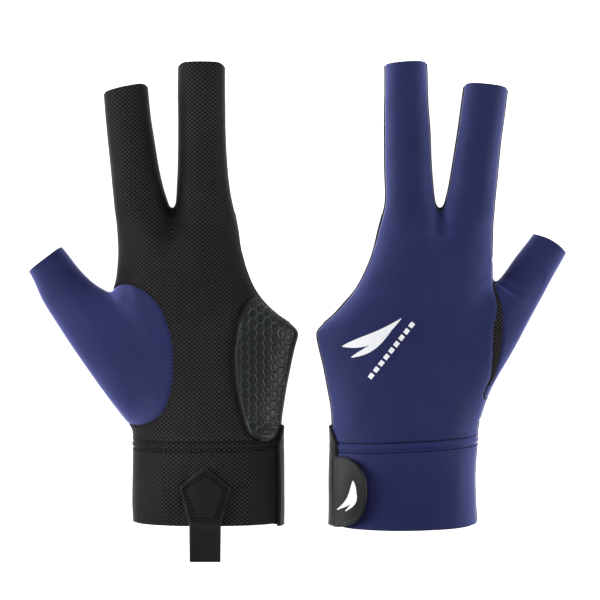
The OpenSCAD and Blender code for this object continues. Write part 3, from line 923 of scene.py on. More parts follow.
def tab_patch(glove):
    ys = np.concatenate([np.linspace(-97.4, -80.7, 34)[:-1], np.linspace(-80.7, -71.4, 26)])
    return laid_patch(glove, "tab_patch_leather", ys, lambda y: TAB_CENTRE - patch_half(y),
                      lambda y: TAB_CENTRE + patch_half(y),
                      46, 0.05, LEATHER, True, 0.6, 0.14)


def pull_tab(glove):
    """A flat strip with a rounded edge and a thicker sewn end, straight out or tucked under."""
    lo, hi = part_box(glove.name + "pull_tab")
    out = glove.g == PALM_UP
    n, m = 40, 30
    w = (hi[0] - lo[0]) / 2
    y0, y1 = (hi[1] + 0.0022, lo[1]) if out else (lo[1], hi[1])
    xc = (lo[0] + hi[0]) / 2
    top, bottom = [], []
    for i in range(n + 1):
        t = i / n
        y = y0 + (y1 - y0) * t
        for j in range(m + 1):
            u = 2 * j / m - 1
            x = xc + w * u * (1 - 0.02 * t)
            rim = min((1 - abs(u)) * w, (1 - t) * abs(y1 - y0), 0.0012 + t * 0.01)
            e = math.sqrt(max(0.0, 1 - max(0.0, 1 - rim / 0.0006) ** 2))
            bead = 0.00016 * math.exp(-((rim - 0.001) / 0.0005) ** 2)
            sag = -0.0009 * max(0.0, 1 - t * 4) ** 2 - 0.0003 * t * t if out else 0.0
            z = (lo[2] + hi[2]) / 2 + sag
            top.append((x, y, z + 0.0003 + 0.0003 * e + bead))
            bottom.append((x, y, z - 0.0003 - 0.0003 * e))
    cols = m + 1
    k = len(top)
    faces = []
    for i in range(n):
        for j in range(m):
            a, b, c, d = i * cols + j, i * cols + j + 1, (i + 1) * cols + j + 1, (i + 1) * cols + j
            faces += [(a, b, c, d), (k + d, k + c, k + b, k + a)]
    loop = list(range(cols)) + [i * cols + m for i in range(1, n + 1)]
    loop += [n * cols + j for j in range(m - 1, -1, -1)] + [i * cols for i in range(n - 1, 0, -1)]
    faces += [(b, a, k + a, k + b) for a, b in zip(loop, loop[1:] + loop[:1])]
    obj = mesh_object(glove.name + "pull_tab_leather", top + bottom, faces)
    recalc_outward(obj)
    set_uv(obj, np.array([v.co[:2] for v in obj.data.vertices]))
    smooth(obj)
    return obj


# ---------------------------------------------------------------- thread, tape and print
def along(points, normals, pitch):
    """Places every pitch along a line: point, direction, normal."""
    p = np.array([v[:] for v in points])
    n = np.array([v[:] for v in normals])
    steps = np.concatenate([[0], np.cumsum(np.linalg.norm(np.diff(p, axis=0), axis=1))])
    count = max(2, int(steps[-1] / pitch))
    at = (np.arange(count) + 0.5) * steps[-1] / count
    place = np.stack([np.interp(at, steps, p[:, k]) for k in range(3)], axis=1)
    ahead = np.stack([np.interp(at + 0.3, steps, p[:, k]) for k in range(3)], axis=1)
    behind = np.stack([np.interp(at - 0.3, steps, p[:, k]) for k in range(3)], axis=1)
    up = np.stack([np.interp(at, steps, n[:, k]) for k in range(3)], axis=1)
    d = ahead - behind
    return place, d / np.maximum(np.linalg.norm(d, axis=1, keepdims=True), 1e-9), up


def stitches(glove, piece, lines, pitch=2.0, length=1.5, radius=0.25, lift=0.1):
    """Rows of short thread stitches lying on the cloth."""
    points, faces = [], []
    ring = [(math.cos(a), math.sin(a)) for a in np.linspace(0, 2 * math.pi, 6, endpoint=False)]
    shape = [(-0.5, 0.35), (-0.3, 0.9), (0.0, 1.0), (0.3, 0.9), (0.5, 0.35)]
    for line in lines:
        for c, d, up in zip(*along(line[0], line[1], pitch)):
            side = np.cross(d, up)
            side /= np.linalg.norm(side)
            up = np.cross(side, d)
            base = len(points)
            for t, r in shape:
                arch = lift * (1 - (2 * t) ** 2) + radius * 0.1
                for a, b in ring:
                    points.append(glove.world(c + d * t * length + side * a * r * radius * 1.2
                                              + up * (b * r * radius + arch)))
            for i in range(len(shape) - 1):
                for j in range(6):
                    k = (j + 1) % 6
                    faces.append((base + i * 6 + j, base + i * 6 + k, base + i * 6 + 6 + k,
                                  base + i * 6 + 6 + j))
            faces.append(tuple(base + 5 - j for j in range(6)))
            faces.append(tuple(base + 24 + j for j in range(6)))
    obj = mesh_object(glove.name + piece, points, faces)
    recalc_outward(obj)
    smooth(obj, 60)
    return obj


def ribbon(glove, piece, points, normals, width, thick, closed=False):
    """A narrow folded tape along a line, with an oval section."""
    p = np.array([v[:] for v in points])
    n = np.array([v[:] for v in normals])
    d = np.gradient(p, axis=0)
    if closed:
        d = np.roll(p, -1, axis=0) - np.roll(p, 1, axis=0)
    d /= np.linalg.norm(d, axis=1, keepdims=True)
    side = np.cross(d, n)
    side /= np.linalg.norm(side, axis=1, keepdims=True)
    up = np.cross(side, d)
    m = 10
    out, faces = [], []
    for c, s, u in zip(p, side, up):
        for k in range(m):
            a = 2 * math.pi * k / m
            out.append(glove.world(c + s * math.cos(a) * width / 2 + u * math.sin(a) * thick / 2))
    rows = len(p)
    for i in range(rows if closed else rows - 1):
        for k in range(m):
            a, b = i * m + k, i * m + (k + 1) % m
            c = ((i + 1) % rows) * m
            faces.append((a, b, c + (k + 1) % m, c + k))
    if not closed:
        faces += [tuple(range(m - 1, -1, -1)), tuple((rows - 1) * m + k for k in range(m))]
    obj = mesh_object(glove.name + piece, out, faces)
    recalc_outward(obj)
    smooth(obj, 60)
    return obj


# ---------------------------------------------------------------- lines along the seams
def seam_edges(glove):
    """Every edge that has two different parts on its sides."""
    names, code = np.unique(glove.part, return_inverse=True)
    edges = np.vstack([glove.tris[:, [0, 1]], glove.tris[:, [1, 2]], glove.tris[:, [2, 0]]])
    owner = np.tile(code, 3)
    edges.sort(axis=1)
    key = edges[:, 0].astype(np.int64) * (len(glove.points) + 1) + edges[:, 1]
    order = np.argsort(key, kind="stable")
    key, owner, edges = key[order], owner[order], edges[order]
    same = np.nonzero(key[1:] == key[:-1])[0]
    differ = same[owner[same] != owner[same + 1]]
    return [(int(edges[i, 0]), int(edges[i, 1]), str(names[owner[i]]), str(names[owner[i + 1]]))
            for i in differ]


def tangents(p, closed):
    d = np.roll(p, -1, axis=0) - np.roll(p, 1, axis=0) if closed else np.gradient(p, axis=0)
    return d / np.maximum(np.linalg.norm(d, axis=1, keepdims=True), 1e-9)


def even_line(glove, run, closed, step=0.7):
    """A smoothed line through a run of the surface's points, with even steps: points, normals, closed."""
    p, n = glove.points[run], glove.normals[run]
    for _ in range(8):
        q = (np.roll(p, 1, axis=0) + np.roll(p, -1, axis=0)) / 4 + p / 2
        p = q if closed else np.vstack([p[:1], q[1:-1], p[-1:]])
    if closed:
        p, n = np.vstack([p, p[:1]]), np.vstack([n, n[:1]])
    steps = np.concatenate([[0], np.cumsum(np.linalg.norm(np.diff(p, axis=0), axis=1))])
    at = np.linspace(0, steps[-1], max(6, int(steps[-1] / step)), endpoint=not closed)
    p = np.stack([np.interp(at, steps, p[:, k]) for k in range(3)], axis=1)
    n = np.stack([np.interp(at, steps, n[:, k]) for k in range(3)], axis=1)
    for _ in range(6):
        q = (np.roll(n, 1, axis=0) + np.roll(n, -1, axis=0)) / 4 + n / 2
        n = q if closed else np.vstack([n[:1], q[1:-1], n[-1:]])
    return p, n / np.linalg.norm(n, axis=1, keepdims=True), closed


def border(glove, one, other):
    """The seam lines between two sets of parts."""
    links = {}
    for a, b, p, q in glove.edges:
        if (p in one and q in other) or (q in one and p in other):
            links.setdefault(a, []).append(b)
            links.setdefault(b, []).append(a)
    runs, seen = [], set()
    for start in [v for v in links if len(links[v]) != 2] + list(links):
        if start in seen:
            continue
        run, v = [start], start
        seen.add(start)
        while True:
            ahead = [w for w in links[v] if w not in seen]
            if not ahead:
                break
            v = ahead[0]
            seen.add(v)
            run.append(v)
        if len(run) > 8:
            runs.append(even_line(glove, run, run[0] in links[run[-1]]))
    return runs


def beside(glove, line, names, shift):
    """The line moved sideways over the cloth, onto the named parts."""
    p, n, closed = line
    side = np.cross(tangents(p, closed), n)
    middle = len(p) // 2
    index = glove.tree.find_nearest(Vector(p[middle] + side[middle] * 1.5))[2]
    sign = 1 if glove.part[index] in names else -1
    found = [glove.tree.find_nearest(Vector(q)) for q in p + side * (sign * shift)]
    q = np.array([f[0][:] for f in found])
    return q, n, closed


def hoop(glove, piece, line, inward, depth, thick, gap=0.12, proud=0.35):
    """A band inside an open end: it follows the cloth's inner face and stands a little proud of its edge."""
    p, n, _ = line
    outer, inner = [], []
    for d in np.linspace(-proud, depth, 7):
        found = [glove.tree.find_nearest(Vector(q)) for q in p + np.array(inward) * max(d, 0.3)]
        q = np.array([f[0][:] for f in found]) + np.array(inward) * (d - max(d, 0.3))
        outer.append(q - n * (CLOTH + gap))
        inner.append(q - n * (CLOTH + gap + thick))
    rows, cols = len(outer), len(p)
    points = [glove.world(q) for grid in (outer, inner) for row in grid for q in row]
    k = rows * cols
    faces = []
    for i in range(rows - 1):
        for j in range(cols):
            a, b = i * cols + j, i * cols + (j + 1) % cols
            faces += [(a, b, b + cols, a + cols), (k + a + cols, k + b + cols, k + b, k + a)]
    for j in range(cols):
        a, b, c = j, (j + 1) % cols, (rows - 1) * cols
        faces += [(b, a, k + a, k + b), (c + a, c + b, k + c + b, k + c + a)]
    obj = mesh_object(glove.name + piece, points, faces)
    recalc_outward(obj)
    set_uv(obj, np.array([[v.co.x + v.co.z, v.co.y] for v in obj.data.vertices]))
    smooth(obj)
    return obj


def laid_shape(glove, piece, centre, half, palm, under, thick, n=40, m=7):
    """A printed shape along a line in plan, with its half width at each point of the line."""
    points, normals = [], []
    for t in np.linspace(0, 1, n):
        c = Vector(centre(t))
        d = (Vector(centre(t + 0.01)) - Vector(centre(t - 0.01))).normalized()
        side = Vector((-d.y, d.x)) * half(t)
        row = [cast(glove, c.x + side.x * u, c.y + side.y * u, palm) for u in np.linspace(-1, 1, m)]
        points.append([r[0] for r in row])
        normals.append([r[1] for r in row])
    return slab(glove, piece, points, normals, under, under + thick)


def joined(objects, name):
    bpy.ops.object.select_all(action="DESELECT")
    for o in objects:
        o.select_set(True)
    bpy.context.view_layer.objects.active = objects[0]
    bpy.ops.object.join()
    objects[0].name = name
    objects[0].select_set(False)
    return objects[0]


def leaf(width):
    return lambda t: 0.12 + width * math.sin(math.pi * min(1, max(0, t)) ** 0.8)


def arc(a, b, sag):
    """A shallow bow from a to b."""
    a, b = Vector(a), Vector(b)
    out = Vector((a.y - b.y, b.x - a.x)).normalized() * sag
    return lambda t: a.lerp(b, t) + out * math.sin(math.pi * t)


def back_mark(glove):
    """A plain mark of two slanted leaves and a row of short bars beside them."""
    shapes = [laid_shape(glove, "leaf", arc((30.8, -16.4), (3.8, -3.6), 2.6), leaf(2.3), False, 0.03, 0.14),
              laid_shape(glove, "leaf", arc((26.6, -21.4), (8.6, -9.4), 1.4), leaf(1.3), False, 0.03, 0.14)]
    a, b = Vector((18.6, -31.2)), Vector((-2.2, -5.0))
    bars = 9
    for k in range(bars):
        start = a.lerp(b, (k + 0.1) / bars)
        end = a.lerp(b, (k + 0.78) / bars)
        shapes.append(laid_shape(glove, "bar", arc(start, end, 0.0), lambda t: 1.05, False, 0.03, 0.14, 6, 5))
    return joined(shapes, glove.name + "back_mark")


def strap_mark(glove):
    """The same plain mark, small, on the strap end."""
    shift = 0.0 if glove.g == BACK_UP else 2.2
    top = FLAP_UNDER + LEATHER - 0.02
    shapes = [laid_shape(glove, "leaf", arc((24.4 + shift, -77.6), (30.8 + shift, -90.8), -2.6), leaf(1.5),
                         False, top, 0.14),
              laid_shape(glove, "leaf", arc((23.4 + shift, -82.0), (27.6 + shift, -91.4), -1.4), leaf(0.8),
                         False, top, 0.14)]
    return joined(shapes, glove.name + "strap_mark")


# ---------------------------------------------------------------- materials
class Nodes:
    """A short way to write one node tree."""

    def __init__(self, tree):
        self.tree = tree

    def put(self, socket, value):
        if isinstance(value, bpy.types.NodeSocket):
            self.tree.links.new(value, socket)
        else:
            socket.default_value = value

    def add(self, kind, inputs=(), **settings):
        node = self.tree.nodes.new("ShaderNode" + kind)
        for key, value in settings.items():
            setattr(node, key, value)
        for key, value in dict(inputs).items():
            self.put(node.inputs[key], value)
        return node

    def math(self, operation, a, b=0.0, c=0.0):
        return self.add("Math", {0: a, 1: b, 2: c}, operation=operation).outputs[0]

    def mix(self, share, a, b):
        node = self.add("Mix", {"Factor": share, "A": (0, 0, 0, 1), "B": (0, 0, 0, 1)}, data_type="RGBA")
        self.put(node.inputs[6], a)
        self.put(node.inputs[7], b)
        return node.outputs[2]

    def step(self, value, low, high):
        node = self.add("MapRange", {"Value": value, "From Min": low, "From Max": high},
                        interpolation_type="SMOOTHSTEP")
        return node.outputs["Result"]

    def group(self, tree, **inputs):
        node = self.add("Group", node_tree=tree)
        for key, value in inputs.items():
            self.put(node.inputs[key], value)
        return node


def new_group(name, inputs, outputs):
    """A node group with float or colour sockets."""
    tree = bpy.data.node_groups.new(name, "ShaderNodeTree")
    for in_out, sockets in (("INPUT", inputs), ("OUTPUT", outputs)):
        for label, kind in sockets:
            tree.interface.new_socket(name=label, in_out=in_out, socket_type="NodeSocket" + kind)
    w = Nodes(tree)
    source = tree.nodes.new("NodeGroupInput").outputs
    sink = tree.nodes.new("NodeGroupOutput").inputs
    return tree, w, source, sink


def uneven_group():
    """Colour that is not quite even: broad soft patches and fine fibre flecks."""
    tree, w, source, sink = new_group("uneven tint", [("Color", "Color"), ("Amount", "Float")],
                                      [("Color", "Color")])
    where = w.add("TexCoord").outputs["Object"]
    broad = w.add("TexNoise", {"Vector": where, "Scale": 28.0, "Detail": 3.0}).outputs[0]
    fine = w.add("TexNoise", {"Vector": where, "Scale": 1500.0, "Detail": 2.0}).outputs[0]
    both = w.math("MULTIPLY_ADD", fine, 0.6, w.math("MULTIPLY", broad, 1.0))
    centred = w.math("SUBTRACT", both, 0.8)
    value = w.math("MULTIPLY_ADD", centred, source["Amount"], 1.0)
    hsv = w.add("HueSaturation", {"Value": value, "Color": source["Color"]})
    w.put(sink["Color"], hsv.outputs[0])
    return tree


def flat_cloth_group():
    """Across and along the flat cloth, in millimetres."""
    tree, w, source, sink = new_group("flat cloth", [], [("Across", "Float"), ("Along", "Float")])
    uv = w.add("UVMap", uv_map="weave").outputs[0]
    split = w.add("SeparateXYZ", {0: uv})
    w.put(sink["Across"], w.math("MULTIPLY", split.outputs[0], 1000.0))
    w.put(sink["Along"], w.math("MULTIPLY", split.outputs[1], 1000.0))
    return tree


def grain_group():
    """Pebbled grain of imitation leather, as a height."""
    tree, w, source, sink = new_group("leather grain", [("Scale", "Float")], [("Height", "Float")])
    where = w.add("TexCoord").outputs["Object"]
    cells = w.add("TexVoronoi", {"Vector": where, "Scale": source["Scale"]},
                  feature="SMOOTH_F1").outputs["Distance"]
    folds = w.add("TexNoise", {"Vector": where, "Scale": 420.0, "Detail": 4.0}).outputs[0]
    w.put(sink["Height"], w.math("MULTIPLY_ADD", folds, 0.6, cells))
    return tree


def wave(w, value, pitch, phase=0.0):
    """A cosine along a value, from -1 to 1."""
    return w.math("COSINE", w.math("MULTIPLY_ADD", value, 2 * math.pi / pitch, phase))


def knit_group():
    """Fine ribbed knit of the stretch cloth, as a height: ribs along the hand, crossed by small loops."""
    tree, w, source, sink = new_group("stretch knit", [], [("Height", "Float")])
    flat = w.group(FLAT)
    rib = wave(w, flat.outputs["Across"], 0.48)
    lean = w.math("MULTIPLY", w.math("ABSOLUTE", rib), 0.22)
    loops = wave(w, w.math("ADD", flat.outputs["Along"], lean), 0.4)
    w.put(sink["Height"], w.math("MULTIPLY_ADD", loops, 0.35, rib))
    return tree


def mesh_group():
    """Perforated mesh: rows of small holes set diagonally. Holes is one in a hole."""
    tree, w, source, sink = new_group("perforated mesh", [], [("Holes", "Float"), ("Height", "Float")])
    flat = w.group(FLAT)
    across, along = flat.outputs["Across"], flat.outputs["Along"]
    lattice = w.math("MULTIPLY", wave(w, across, 2.3), wave(w, along, 1.9))
    hole = w.step(lattice, 0.25, 0.62)
    thread = w.math("MULTIPLY", wave(w, across, 0.46), 0.12)
    w.put(sink["Holes"], hole)
    w.put(sink["Height"], w.math("SUBTRACT", w.math("MULTIPLY_ADD", lattice, -0.35, thread), hole))
    return tree


def new_material(name):
    m = bpy.data.materials.new(name)
    m.use_nodes = True
    return m, Nodes(m.node_tree), m.node_tree.nodes["Principled BSDF"]


def set_principled(node, roughness, sheen=0.0, tint=(1, 1, 1), sheen_roughness=0.4, specular=0.5):
    node.inputs["Roughness"].default_value = roughness
    node.inputs["Specular IOR Level"].default_value = specular
    node.inputs["Sheen Weight"].default_value = sheen
    node.inputs["Sheen Tint"].default_value = (*tint, 1)
    node.inputs["Sheen Roughness"].default_value = sheen_roughness


def bump_to(w, node, height, strength, distance):
    bump = w.add("Bump", {"Height": height, "Strength": strength, "Distance": distance})
    w.put(node.inputs["Normal"], bump.outputs[0])


NAVY = (0.0160, 0.0195, 0.0820, 1)
# Painted light: the next two colours stand in for side light and a rim highlight on the knit.
NAVY_PAINTED_SIDE_LIGHT = (0.0400, 0.0460, 0.1600, 1)
NAVY_PAINTED_RIM_HIGHLIGHT = (0.2900, 0.3000, 0.5000, 1)
BLACK_YARN = (0.0150, 0.0135, 0.0140, 1)
# Painted highlight: the lighter colour for the raised crowns of the threads.
BLACK_PAINTED_CROWN_HIGHLIGHT = (0.0400, 0.0350, 0.0355, 1)
# Painted shade: the darker colour for the mesh's sides.
BLACK_PAINTED_SIDE_SHADE = (0.0075, 0.0075, 0.0088, 1)
# Painted shade: near black for the mesh's holes, where the inside of the glove shows.
BLACK_PAINTED_HOLE_SHADE = (0.0008, 0.0008, 0.0009, 1)
# Painted highlight: the pale colour for the mesh's rim.
BLACK_PAINTED_RIM_HIGHLIGHT = (0.0700, 0.0700, 0.0800, 1)


def knit_material():
    """Navy knit with painted light: a painted side light and a painted rim highlight, lighter as the surface
    turns from the view.
    """
    m, w, node = new_material("navy stretch knit")
    # Painted side light and painted rim highlight: the knit turns lighter as its surface turns away from the
    # view.
    edge = w.add("LayerWeight", {"Blend": 0.5}).outputs["Facing"]
    color = w.mix(w.step(edge, 0.02, 0.55), NAVY, NAVY_PAINTED_SIDE_LIGHT)
    color = w.mix(w.step(edge, 0.55, 1.0), color, NAVY_PAINTED_RIM_HIGHLIGHT)
    w.put(node.inputs["Base Color"], w.group(UNEVEN, Color=color, Amount=0.5).outputs[0])
    set_principled(node, 0.62, 0.04, (0.62, 0.66, 1.0), 0.35, 0.12)
    bump_to(w, node, w.group(KNIT).outputs["Height"], 0.22, 0.00006)
    return m


def mesh_material():
    """Black mesh with painted light: painted shade on its sides and a painted rim highlight by the angle of
    view, a painted highlight on the thread crowns and painted shade in the holes.
    """
    m, w, node = new_material("black perforated mesh")
    pattern = w.group(MESH)
    # Painted highlight on the raised crowns of the threads.
    painted_crown_highlight = w.step(pattern.outputs["Height"], 0.05, 0.42)
    # Painted shade on the sides and a painted rim highlight, by the angle of view.
    edge = w.add("LayerWeight", {"Blend": 0.5}).outputs["Facing"]
    yarn_with_painted_light = w.mix(painted_crown_highlight, BLACK_YARN, BLACK_PAINTED_CROWN_HIGHLIGHT)
    yarn_with_painted_light = w.mix(w.step(edge, 0.08, 0.45), yarn_with_painted_light, BLACK_PAINTED_SIDE_SHADE)
    yarn_with_painted_light = w.mix(w.step(edge, 0.66, 1.0), yarn_with_painted_light, BLACK_PAINTED_RIM_HIGHLIGHT)
    # Painted shade: the holes are coloured near black.
    color = w.mix(pattern.outputs["Holes"], yarn_with_painted_light, BLACK_PAINTED_HOLE_SHADE)
    w.put(node.inputs["Base Color"], w.group(UNEVEN, Color=color, Amount=0.9).outputs[0])
    set_principled(node, 0.42, specular=0.05)
    bump_to(w, node, pattern.outputs["Height"], 0.9, 0.00035)
    return m


def leather_material(name, color, scale, roughness, depth):
    m, w, node = new_material(name)
    w.put(node.inputs["Base Color"], w.group(UNEVEN, Color=color, Amount=0.7).outputs[0])
    set_principled(node, roughness, specular=0.15)
    bump_to(w, node, w.group(GRAIN, Scale=scale).outputs["Height"], 0.5, depth)
    return m


def pad_material():
    """The pad's ridges are coloured a little lighter than its cells."""
    m, w, node = new_material("embossed pad")
    ridge = w.add("Attribute", attribute_name="ridge").outputs["Fac"]
    color = w.mix(ridge, (0.0085, 0.0105, 0.0115, 1), (0.026, 0.030, 0.032, 1))
    w.put(node.inputs["Base Color"], w.group(UNEVEN, Color=color, Amount=0.7).outputs[0])
    set_principled(node, 0.44, specular=0.22)
    bump_to(w, node, w.group(GRAIN, Scale=1900.0).outputs["Height"], 0.4, 0.00004)
    return m


def tape_material(name, color, pitch, depth):
    """Woven tape: crossed ribs."""
    m, w, node = new_material(name)
    flat = w.group(FLAT)
    ribs = w.math("MULTIPLY_ADD", wave(w, flat.outputs["Along"], pitch), 0.5,
                  wave(w, flat.outputs["Across"], pitch * 0.8))
    w.put(node.inputs["Base Color"], w.group(UNEVEN, Color=color, Amount=0.8).outputs[0])
    set_principled(node, 0.75, 0.1)
    bump_to(w, node, ribs, 0.5, depth)
    return m


def thread_material(name, color):
    m, w, node = new_material(name)
    w.put(node.inputs["Base Color"], w.group(UNEVEN, Color=color, Amount=0.5).outputs[0])
    set_principled(node, 0.75, specular=0.08)
    return m


def print_material():
    m, w, node = new_material("white print")
    w.put(node.inputs["Base Color"], w.group(UNEVEN, Color=(0.80, 0.81, 0.84, 1), Amount=0.12).outputs[0])
    set_principled(node, 0.5)
    return m


# ---------------------------------------------------------------- putting the pair together
def finish_piece(obj, mat, nodes=(), body=None, bend=None):
    """Give a piece its material and hide the CAD nodes it stands for; a piece without a bend is attached to
    the body it moves with, and a bent piece only gets its placement baked in.
    """
    obj.data.materials.clear()
    obj.data.materials.append(mat)
    if nodes:
        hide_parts(*nodes)
    if bend:
        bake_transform(obj)
    else:
        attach(obj, body)
    return obj


def flat_size(obj):
    """An estimated rectangle for the piece, from its longest side and its area, and that area."""
    area = sum(f.area for f in obj.data.polygons) / 2
    corners = np.array([v.co[:] for v in obj.data.vertices])
    length = float((corners.max(axis=0) - corners.min(axis=0)).max())
    width = max(area / (0.8 * length), 0.0102)
    length = min(length, area / (0.32 * width))
    return width, length, area


def declare(obj):
    width, length, area = flat_size(obj)
    if length > 0.0102:
        print("flat", obj.name, round(width * 1000, 1), round(length * 1000, 1), round(area * 1e6),
              len(obj.data.polygons))


THUMB_ROOT = ((-52.1, 1.5), (-49.2, 7.1))
THUMB_AIM = ((-71.8, 23.7), (-65.6, 30.9))


def thumb_bend(glove):
    """Where the thumb's cloth starts to turn and where it has turned with the thumb."""
    root, aim = Vector(THUMB_ROOT[glove.g]), Vector(THUMB_AIM[glove.g])
    d = (aim - root).normalized()
    ends = [root + d * k for k in (0.5, 15.0)]
    return [glove.world((e.x, e.y, 10.0)) for e in ends]


def cloth_pieces(glove):
    """The sewn panels."""
    n = glove.name
    hand = n + "hand"
    made = {}
    fingers = {"index": (n + "index", 47.0, 61.0), "middle": (n + "middle", 47.0, 61.0)}
    panels = (("palm_panel", "palm_cloth", MESH_CLOTH, "mesh"),
              ("back_panel", "back_cloth", KNIT_CLOTH, "stretch_cloth"),
              ("thumb_gusset", "gusset_cloth", MESH_CLOTH, "mesh"),
              ("cuff_palm", "cuff_palm_cloth", MESH_CLOTH, "mesh"),
              ("cuff_back", "cuff_back_cloth", KNIT_CLOTH, "stretch_cloth"))
    for part, piece, mat, slot in panels:
        made[part] = finish_piece(cloth_piece(glove, [part], piece), mat, [n + part], hand)
    for part, mat, slot in (("band_palm", MESH_CLOTH, "mesh"), ("band_back", KNIT_CLOTH, "stretch_cloth")):
        made[part] = finish_piece(cloth_piece(glove, [part], "channel_" + part[5:]), mat, (), hand)
    for finger, (body, start, end) in fingers.items():
        for layer, mat, slot in (("palm", MESH_CLOTH, "mesh"), ("back", KNIT_CLOTH, "stretch_cloth")):
            part = finger + "_" + layer
            x = -27 if finger == "index" else 1
            bend = (hand, body, glove.world((x, start, 10)), glove.world((x, end, 10)))
            made[part] = finish_piece(cloth_piece(glove, [part], part + "_cloth"), mat, [n + part],
                                      bend=bend)
    start, end = thumb_bend(glove)
    made["thumb"] = finish_piece(cloth_piece(glove, ["thumb"], "thumb_cloth"), KNIT_CLOTH,
                                 [n + "thumb_base", n + "thumb_sleeve"], bend=(hand, n + "thumb", start, end))
    return made


def band_pieces(glove):
    """The tapes inside the open ends, the elastic, and the binding round the side mouth."""
    n = glove.name
    ends = (("index", ["index_palm", "index_back"], (0, -1, 0)),
            ("middle", ["middle_palm", "middle_back"], (0, -1, 0)))
    for finger, parts, inward in ends:
        line = border(glove, parts, ["gone"])[0]
        finish_piece(hoop(glove, finger + "_hem_tape", line, inward, 5.0, 0.55), TAPE,
                     [n + finger + "_hem"], n + finger)
    d = Vector(THUMB_ROOT[glove.g]) - Vector(THUMB_AIM[glove.g])
    d.normalize()
    line = border(glove, ["thumb"], ["gone"])[0]
    finish_piece(hoop(glove, "thumb_hem_tape", line, (d.x, d.y, 0), 4.0, 0.55), TAPE,
                 [n + "thumb_hem"], n + "thumb")
    line = border(glove, ["cuff_palm", "cuff_back"], ["gone"])[0]
    facing = hoop(glove, "cuff_facing_cloth", line, (0, 1, 0), 6.5, 0.6)
    finish_piece(facing, MESH_CLOTH, [n + "cuff_facing"], n + "hand")
    declare(facing)
    line = border(glove, ["cuff_palm", "cuff_back"], ["band_palm", "band_back"])[0]
    elastic = hoop(glove, "elastic", line, (0, 1, 0), 3.2, 0.6, 0.3, 0.0)
    finish_piece(elastic, TAPE, [n + "wrist_elastic"], n + "hand")
    for part in ("palm_panel", "back_panel"):
        for k, line in enumerate(border(glove, [part], ["gone"])):
            edge = (line[0] - line[1] * CLOTH * 0.5, line[1], line[2])
            tape = ribbon(glove, f"mouth_binding_{part[:4]}_{k}", edge[0], edge[1], 1.1, CLOTH + 0.5)
            finish_piece(tape, TAPE, (), n + "hand")


def seam_threads(glove):
    """The rows of stitches along the seams."""
    n = glove.name
    upper = border(glove, ["band_back"], ["back_panel"])
    lower = border(glove, ["cuff_back"], ["band_back"])
    lines = [beside(glove, l, ["back_panel"], 0.9) for l in upper]
    lines += [beside(glove, l, ["cuff_back"], 0.9) for l in lower]
    finish_piece(stitches(glove, "wrist_thread_back", lines), THREAD_NAVY, (), n + "hand")
    upper = border(glove, ["band_palm"], ["palm_panel"])
    lower = border(glove, ["cuff_palm"], ["band_palm"])
    lines = [beside(glove, l, ["palm_panel"], 0.9) for l in upper]
    lines += [beside(glove, l, ["cuff_palm"], 0.9) for l in lower]
    finish_piece(stitches(glove, "wrist_thread_palm", lines), THREAD_BLACK, (), n + "hand")
    lines = [beside(glove, l, ["palm_panel"], 1.0) for l in border(glove, ["thumb"], ["palm_panel"])]
    finish_piece(stitches(glove, "oval_thread", lines, 1.6, 1.1, 0.13), THREAD_BLACK, (), n + "hand")


def lifted_line(glove, plan, palm, lift):
    """A line in plan laid over a trim: points on the cloth raised by a height."""
    at = [Vector(a).lerp(Vector(b), t) for a, b in zip(plan, plan[1:]) for t in np.arange(0, 1, 0.1)]
    hits = [cast(glove, q.x, q.y, palm) for q in at]
    p = np.array([h[0][:] for h in hits])
    n = np.array([h[1][:] for h in hits])
    for _ in range(10):
        n[1:-1] = n[1:-1] / 2 + (n[:-2] + n[2:]) / 4
    n /= np.linalg.norm(n, axis=1, keepdims=True)
    return p + n * lift, n, False


def patch_outline(inset):
    """The five corners of the patch, moved inwards."""
    (y0, w0), (y1, w1), (y2, _) = PATCH
    right = [(TAB_CENTRE + w0 - inset, y0 + inset), (TAB_CENTRE + w1 - 1.05 * inset, y1 - 0.25 * inset)]
    apex = [(TAB_CENTRE, y2 - 1.35 * inset)]
    left = [(2 * TAB_CENTRE - x, y) for x, y in reversed(right)]
    return right + apex + left + right[:1]


def trim_threads(glove):
    """The two rows of stitches round the patch and the one round the strap's end."""
    n = glove.name
    rows = [lifted_line(glove, patch_outline(d), True, LEATHER + 0.02) for d in (1.7, 2.9)]
    finish_piece(stitches(glove, "patch_thread", rows, 1.7, 1.1, 0.27), THREAD_DARK, (), n + "hand")
    shift = 0.0 if glove.g == BACK_UP else 2.2
    inner = rounded_end(FLAP_Y[0], FLAP_Y[1], 18.9 + shift, 30.5 + shift)
    ys = np.linspace(FLAP_Y[1] - 1.1, FLAP_Y[0] + 1.1, 30)
    plan = [(32.0 + shift, ys[0])] + [(inner(y) + 1.1, y) for y in ys] + [(32.0 + shift, ys[-1])]
    row = lifted_line(glove, plan, False, FLAP_UNDER + LEATHER + 0.02)
    finish_piece(stitches(glove, "strap_thread", [row], 1.5, 1.0, 0.13), THREAD_GREY, (),
                 bend=strap_bend(glove))


def strap_bend(glove):
    """The hand, the strap and two points on a line beside the strip, where the strap's end meets the strip.
    """
    shift = 0.0 if glove.g == BACK_UP else 2.2
    n = glove.name
    return n + "hand", n + "strap", glove.world((33.2 + shift, -82, 20)), glove.world((29.6 + shift, -82, 20))


